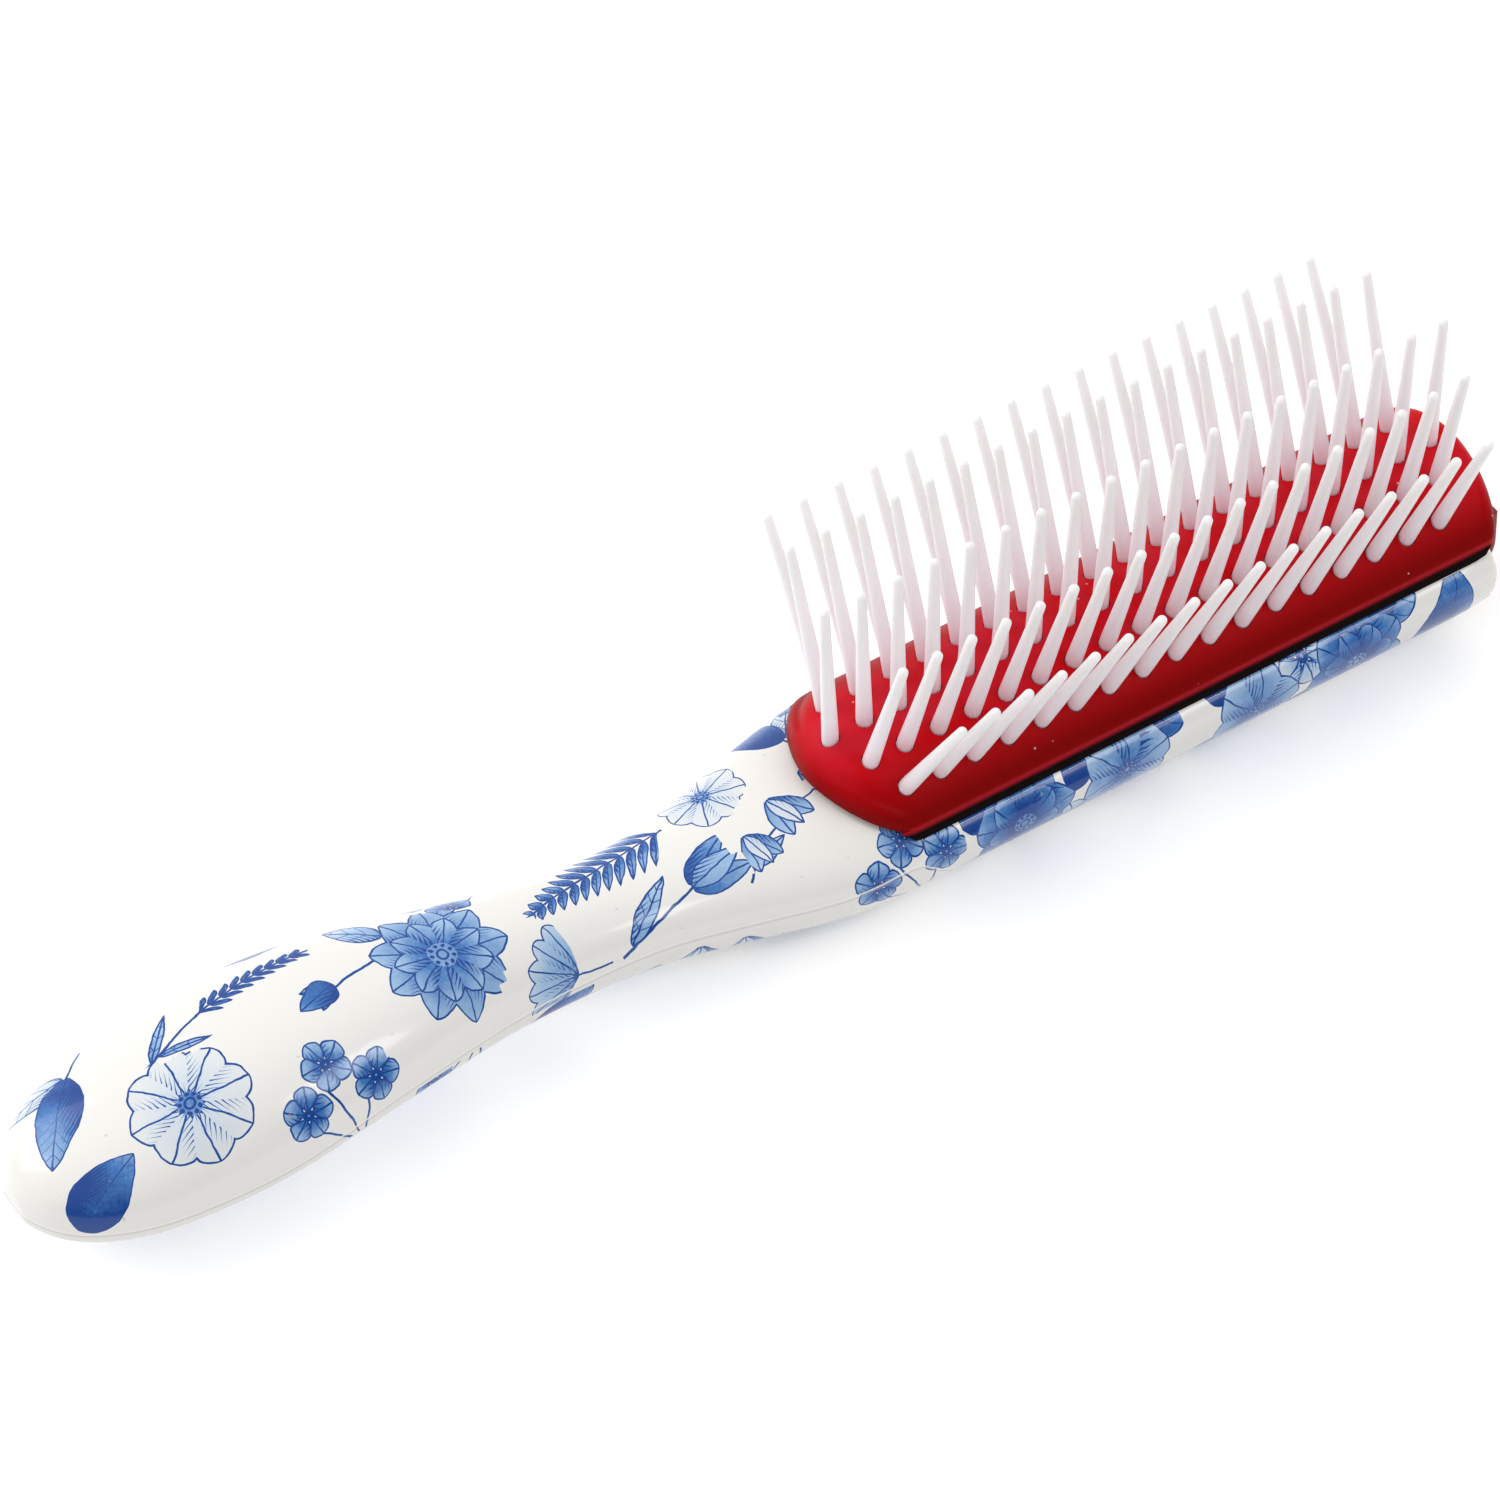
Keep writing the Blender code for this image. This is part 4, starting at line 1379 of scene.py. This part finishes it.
# %% Where the motifs lie
# Motif, distance from the butt, degrees round the handle (0 on top, minus on the near side), turn, size
UPPER_PRINT = (
    ("leaves", 8, 26, 205, 1.15), ("leaf", 8, -57, 24, 0.85), ("cosmos", 21, -30, 20, 1.3),
    ("lavender", 31, 28, 12, 1.15), ("flowers", 37, -66, 30, 1.25), ("leaf", 41, 74, 10, 1.1),
    ("dahlia", 54, -8, 196, 1.2), ("flowers", 62, 60, 120, 1.15), ("ginkgo", 68, -66, 160, 1.0),
    ("fern", 79, 20, 184, 1.0), ("tulip", 87, -44, 14, 1.15), ("cosmos", 97, 48, 0, 0.95),
    ("bellflowers", 104, -12, 20, 1.05), ("leaves", 108, 72, 90, 1.0),
)
LOWER_PRINT = (
    ("cosmos", 16, 180, 0, 1.3), ("fern", 38, 168, 20, 1.1), ("leaves", 30, -118, 80, 1.1),
    ("tulip", 60, 190, 200, 1.15), ("flowers", 50, 136, 0, 1.2), ("leaf", 16, -126, 40, 1.0),
    ("ginkgo", 80, 178, 90, 1.0), ("flowers", 52, -110, 150, 1.2), ("lavender", 100, 186, 4, 1.1),
    ("leaf", 68, -114, 20, 0.9), ("bellflowers", 88, -112, 4, 1.0), ("dahlia", 126, 180, 10, 1.2),
    ("bellflowers", 152, 176, 190, 1.2), ("cosmos", 170, 196, 0, 1.2), ("leaves", 188, 174, 60, 1.2),
    ("ginkgo", 140, 148, 200, 1.0), ("tulip", 164, 148, 30, 1.0), ("fern", 106, -140, 160, 1.0),
    ("leaf", 146, -146, 10, 1.0), ("flowers", 160, -148, 60, 1.1), ("cosmos", 186, -146, 0, 1.0),
    ("leaf", 96, 118, 30, 1.0), ("flowers", 76, 116, 80, 1.1), ("leaves", 24, 116, 10, 1.1),
)
# The dense band on each side of the head: motif, distance, degrees, turn, size
HEAD_SIDE_PRINT = (
    ("flowers", 115, 88, 40, 1.2), ("posy", 138, 97, 3, 1.15), ("posy", 171, 95, 181, 1.15),
    ("leaf", 192, 100, 75, 1.05),
)
HEAD_SIDE_SHIFT = 2
HEAD_SIDE_TURN = 5


def parting_height(distance):
    """Height of the parting line at a distance from the butt."""
    return along_grip(distance)[2]


def lay_motifs():
    """Every motif with its size, the half it is printed on, and its place and directions on the surface."""
    surface = BVHTree.FromObject(handle, bpy.context.evaluated_depsgraph_get())
    rows = [(*row, 1) for row in UPPER_PRINT] + [(*row, -1) for row in LOWER_PRINT]
    for side in (-1, 1):
        for motif, distance, degrees, turn, size in HEAD_SIDE_PRINT:
            distance += HEAD_SIDE_SHIFT * side
            rows.append((motif, distance, side * degrees, turn + HEAD_SIDE_TURN * side, size, 0))
    laid = []
    for motif, distance, degrees, turn, size, half in rows:
        round_it, turn = math.radians(degrees), math.radians(turn)
        out = Vector((0, math.sin(round_it), math.cos(round_it)))
        middle = Vector((BUTT_X + distance, 0, parting_height(distance))) * MM
        spot, normal, _, _ = surface.ray_cast(middle + out * 3 * WIDE * MM, -out)
        lengthways = (Vector((1, 0, 0)) - normal * normal.x).normalized()
        sideways = normal.cross(lengthways)
        first = math.cos(turn) * lengthways + math.sin(turn) * sideways
        second = math.cos(turn) * sideways - math.sin(turn) * lengthways
        laid.append((motif, size, half, *(np.array(v) for v in (spot, normal, first, second))))
    return laid


def numbers(items, key, width, kind=float):
    """One property of all the mesh's items as an array."""
    values = np.empty(len(items) * width, kind)
    items.foreach_get(key, values)
    return values.reshape(-1, width) if width > 1 else values


def on_paper(points, size, spot, first, second):
    """Where points of the surface lie on a motif's paper, in millimetres from its middle."""
    step = points - spot
    flat = np.stack([step @ first, step @ second], axis=1)
    stretch = np.linalg.norm(step, axis=1) / np.maximum(np.linalg.norm(flat, axis=1), 1e-9)
    return flat * stretch[:, None] / MM / size


# %% Give each face its motif, and each corner its place on the motif's paper
# How level a face of the bed is, and how far a face may turn away from its motif's middle
LEVEL = 0.999
FACING = 0.05


def map_print():
    """Gives each outer face the motif whose middle is nearest for its size."""
    mesh = handle.data
    centre, normal = numbers(mesh.polygons, "center", 3), numbers(mesh.polygons, "normal", 3)
    above = centre[:, 2] / MM - np.array([parting_height(x / MM - BUTT_X) for x in centre[:, 0]])
    outer = normal[:, 1] * centre[:, 1] + normal[:, 2] * above * MM > 0
    bed = (centre[:, 0] > PAD_X * MM) & (normal[:, 2] > LEVEL)
    share, owner = np.ones(len(centre)), np.full(len(centre), -1)
    laid = lay_motifs()
    for index, (motif, size, half, spot, facing, first, second) in enumerate(laid):
        _, along, across = MOTIFS[motif]
        reach = np.linalg.norm(on_paper(centre, size, spot, first, second) / (along, across), axis=1)
        mine = (reach < share) & (normal @ facing > FACING) & outer & ~bed
        if half:
            mine &= (above > 0) == (half > 0)
        share[mine], owner[mine] = reach[mine], index
    face_of = np.repeat(np.arange(len(centre)), numbers(mesh.polygons, "loop_total", 1, np.int32))
    corners = numbers(mesh.vertices, "co", 3)[numbers(mesh.loops, "vertex_index", 1, np.int32)]
    places = np.zeros((len(corners), 2))
    slots = np.zeros(len(centre), np.int32)
    for index, (motif, size, half, spot, facing, first, second) in enumerate(laid):
        mine = owner[face_of] == index
        places[mine] = on_paper(corners[mine], size, spot, first, second)
        slots[owner == index] = 1 + list(MOTIFS).index(motif)
    mesh.uv_layers.new(name="print").data.foreach_set("uv", places.ravel())
    mesh.polygons.foreach_set("material_index", slots)
    print(f"{len(laid)} motifs laid; {np.mean(owner >= 0):.0%} of the faces belong to one")


# %% [markdown]
# The handle's materials are one ivory plastic, bare or with a motif over it. A little noise makes the lines
# waver and the washes uneven, as a printed film looks close up. The film is glossy, and its surface has the
# faint ripple of moulded plastic. The parting line shows on the grip as a fine bumped ridge with a painted
# highlight along it and a painted shadow line below it. Each point knows its height above the ridge from an
# attribute, and where the neck meets the head the ridge sinks into the head's lower edge.

# %% Ivory plastic with blue ink
IVORY = (0.86, 0.845, 0.81, 1.0)
INK_STOPS = (
    (0.14, (0.36, 0.54, 0.77, 1.0)),
    (0.36, (0.045, 0.185, 0.50, 1.0)),
    (0.66, (0.001, 0.050, 0.28, 1.0)),
)
SPECK = (0.45, 0.42, 0.38, 1.0)
RIDGE_HIGHLIGHT = (0.93, 0.92, 0.90, 1.0)
STEP_SHADOW = (0.42, 0.40, 0.36, 1.0)
# How fine each noise is, in waves to the metre
WAVER, PATCHES, GRAIN, SPECKS, SMEARS, RIPPLES = 420.0, 260.0, 2400.0, 900.0, 130.0, 700.0
WAVER_REACH = 0.5
PARTING_WIDTH = 0.2
PARTING_SHADOW_DROP = 1.6 * PARTING_WIDTH
PARTING_LIFT = 1.0
PARTING_END = HEAD_START - 4


def printed_ivory(name, motif=None):
    g = Graph(name, {"Specular IOR Level": 0.3, "Coat Weight": 0.3, "Coat Roughness": 0.05})
    body = g.place()
    density = 0.0
    if motif is not None:
        waver = g.add("VectorMath", body.noise(WAVER, output=1), (-0.5, -0.5, -0.5), operation="ADD")
        paper = g.add("VectorMath", waver, (WAVER_REACH, WAVER_REACH, 0.0), g.add("UVMap", uv_map="print"),
                      operation="MULTIPLY_ADD")
        density = motif(paper)[0] * (body.noise(PATCHES) + 0.45) * body.noise(GRAIN).times_plus(0.5, 0.75)
    colour = g.add("ValToRGB", density)
    stops = colour.socket.node.color_ramp.elements
    stops[0].position, stops[0].color = 0.0, IVORY
    stops[1].position, stops[1].color = INK_STOPS[-1]
    for position, ink in INK_STOPS[:-1]:
        stops.new(position).color = ink

    height = g.attribute("above_parting")
    # The parting ridge bumps the surface and takes a painted highlight; the dark line below it is a painted
    # shadow
    ridge_and_highlight = abs(height).clamped(PARTING_WIDTH, PARTING_WIDTH / 3)
    step = abs(height + PARTING_SHADOW_DROP).clamped(PARTING_WIDTH, PARTING_WIDTH / 3)
    colour = g.mix(body.noise(SPECKS, 1.0).clamped(0.77, 0.80) * 0.4, colour, SPECK)
    colour = g.mix(ridge_and_highlight * 0.8, colour, RIDGE_HIGHLIGHT)
    g.feed("Base Color", g.mix(step * 0.35, colour, STEP_SHADOW))
    g.feed("Roughness", body.noise(SMEARS).times_plus(0.10, 0.17))
    g.bump(body.noise(RIPPLES).times_plus(0.35, ridge_and_highlight * 1.4), 0.35, 0.06)
    return g.material


def paint(thing, *materials):
    """Gives a piece its materials, whatever its cutters left behind."""
    thing.data.materials.clear()
    for material in materials:
        thing.data.materials.append(material)


def above_parting(place):
    """Height above the parting ridge, which sinks into the head's lower edge past the neck."""
    distance = place.x / MM - BUTT_X
    return place.z / MM - parting_height(distance) - PARTING_LIFT + max(0.0, distance - PARTING_END)


heights = handle.data.attributes.new("above_parting", "FLOAT", "POINT")
heights.data.foreach_set("value", [above_parting(vertex.co) for vertex in handle.data.vertices])
prints = [printed_ivory("ivory_" + name, motif) for name, (motif, _, _) in MOTIFS.items()]
paint(handle, printed_ivory("ivory_bare"), *prints)
map_print()
print("nodes in each print:", [len(m.node_tree.nodes) for m in handle.data.materials])

# %% [markdown]
# ## Rubber and nylon
# The pad is soft red rubber, a clean red that is painted darker lower down its slopes as painted shade.
# Handling and dust leave a pale cloudy haze on its crown, which also serves as a painted sheen, and a few
# specks. The lip's edge has a lighter painted highlight, and the apron below it, under the lip, is painted
# nearly black as painted shade. All of this follows from the place of a point.

# %% Red rubber
RUBBER_SHADED_RED = (0.23, 0.0, 0.0006, 1.0)
RUBBER_RED = (0.60, 0.0, 0.0045, 1.0)
RUBBER_HAZE_AND_SHEEN = (0.62, 0.020, 0.040, 1.0)
RUBBER_UNDER_LIP_SHADE = (0.004, 0.0008, 0.0012, 1.0)
DUST = (0.80, 0.62, 0.60, 1.0)
# Heights and distances from the middle line between which each look comes in, in millimetres
SLOPE_SHADE_Z, HAZE_AND_SHEEN_Z = (16.2, 20.8), (18.5, 21.6)
LIP_HIGHLIGHT_Z, LIP_HIGHLIGHT_Y = (15.2, 15.0), (11.95, 12.15)
APRON_SHADE_Z, APRON_SHADE_Y = (14.66, 14.26), (12.0, 12.2)
CLOUDS, DUST_CELLS, DUST_PATCHES, PORES = 120.0, 520.0, 210.0, 1500.0


def between(value, limits):
    """How far a value in metres is between two limits in millimetres."""
    return value.clamped(limits[0] * MM, limits[1] * MM)


def red_rubber():
    g = Graph("red_rubber", {"Specular IOR Level": 0.06})
    body = g.place()
    _, y, z = body.parts()
    across = abs(y)
    cloudy = body.noise(CLOUDS, 3.0).clamped(0.34, 0.66)
    # Painted shade: the pad's lower slopes are painted a darker red
    colour = g.mix(between(z, SLOPE_SHADE_Z), RUBBER_SHADED_RED, RUBBER_RED)
    # A cloudy haze on the crown, part dust and part painted sheen
    colour = g.mix(cloudy * between(z, HAZE_AND_SHEEN_Z) * 0.75, colour, RUBBER_HAZE_AND_SHEEN)
    # Painted highlight: a lighter line along the lip's edge
    colour = g.mix(between(across, LIP_HIGHLIGHT_Y) * between(z, LIP_HIGHLIGHT_Z) * 0.35, colour, RUBBER_HAZE_AND_SHEEN)
    speck = g.add("TexVoronoi", body, None, DUST_CELLS, feature="F1").clamped(0.10, 0.05)
    colour = g.mix(speck * body.noise(DUST_PATCHES, 1.0).clamped(0.60, 0.64) * 0.7, colour, DUST)
    # Painted shade: the apron under the lip is painted nearly black
    g.feed("Base Color", g.mix(between(z, APRON_SHADE_Z) * between(across, APRON_SHADE_Y), colour, RUBBER_UNDER_LIP_SHADE))
    g.feed("Roughness", cloudy.times_plus(0.12, 0.40))
    g.bump(body.noise(PORES, 3.0), 0.3, 0.07)
    return g.material


# %% [markdown]
# The pins are milky nylon: light enters, scatters and leaves a little way on. Subsurface scattering does
# that. The thin tips look clear and grey, and near the pad a painted pink glow stands in for the red light
# of the rubber.

# %% Milky nylon
NYLON_FOOT_GLOW = (0.86, 0.72, 0.78, 1.0)
NYLON_MIDDLE = (0.91, 0.87, 0.90, 1.0)
NYLON_TIP = (0.86, 0.85, 0.84, 1.0)
# Shares of a pin's height between which its colour changes
FOOT_GLOW_END, TIP_START = (-0.02, 0.16), (0.30, 0.85)
NYLON_SMEARS = 90.0


def milky_nylon():
    g = Graph("milky_nylon", {
        "Subsurface Weight": 0.9, "Subsurface Radius": (1.0, 0.85, 0.9), "Subsurface Scale": 1.4 * MM,
        "IOR": 1.5, "Specular IOR Level": 0.2})
    up = g.attribute("up_the_pin")
    # Painted reflected light: each pin's foot is painted pink for the red light of the rubber
    low = g.mix(up.clamped(*FOOT_GLOW_END), NYLON_FOOT_GLOW, NYLON_MIDDLE)
    g.feed("Base Color", g.mix(up.clamped(*TIP_START), low, NYLON_TIP))
    g.feed("Roughness", g.place().noise(NYLON_SMEARS).times_plus(0.10, 0.26))
    return g.material


paint(pad, red_rubber())
smooth(pad, 40)
nylon = milky_nylon()
for strip in strips:
    paint(strip, nylon)
print("painted:", pad.name, "and", len(strips), "pin strips")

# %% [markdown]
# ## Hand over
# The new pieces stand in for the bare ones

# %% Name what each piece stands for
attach(handle, "handle")
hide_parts("handle")
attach(pad, "pad")
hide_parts("rubber_pad")
for row, strip in zip(ROWS, strips):
    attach(strip, "pad")
    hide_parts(row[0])
bpy.context.view_layer.update()
print("bare model", [[round(c / MM, 2) for c in corner] for corner in cad_box])
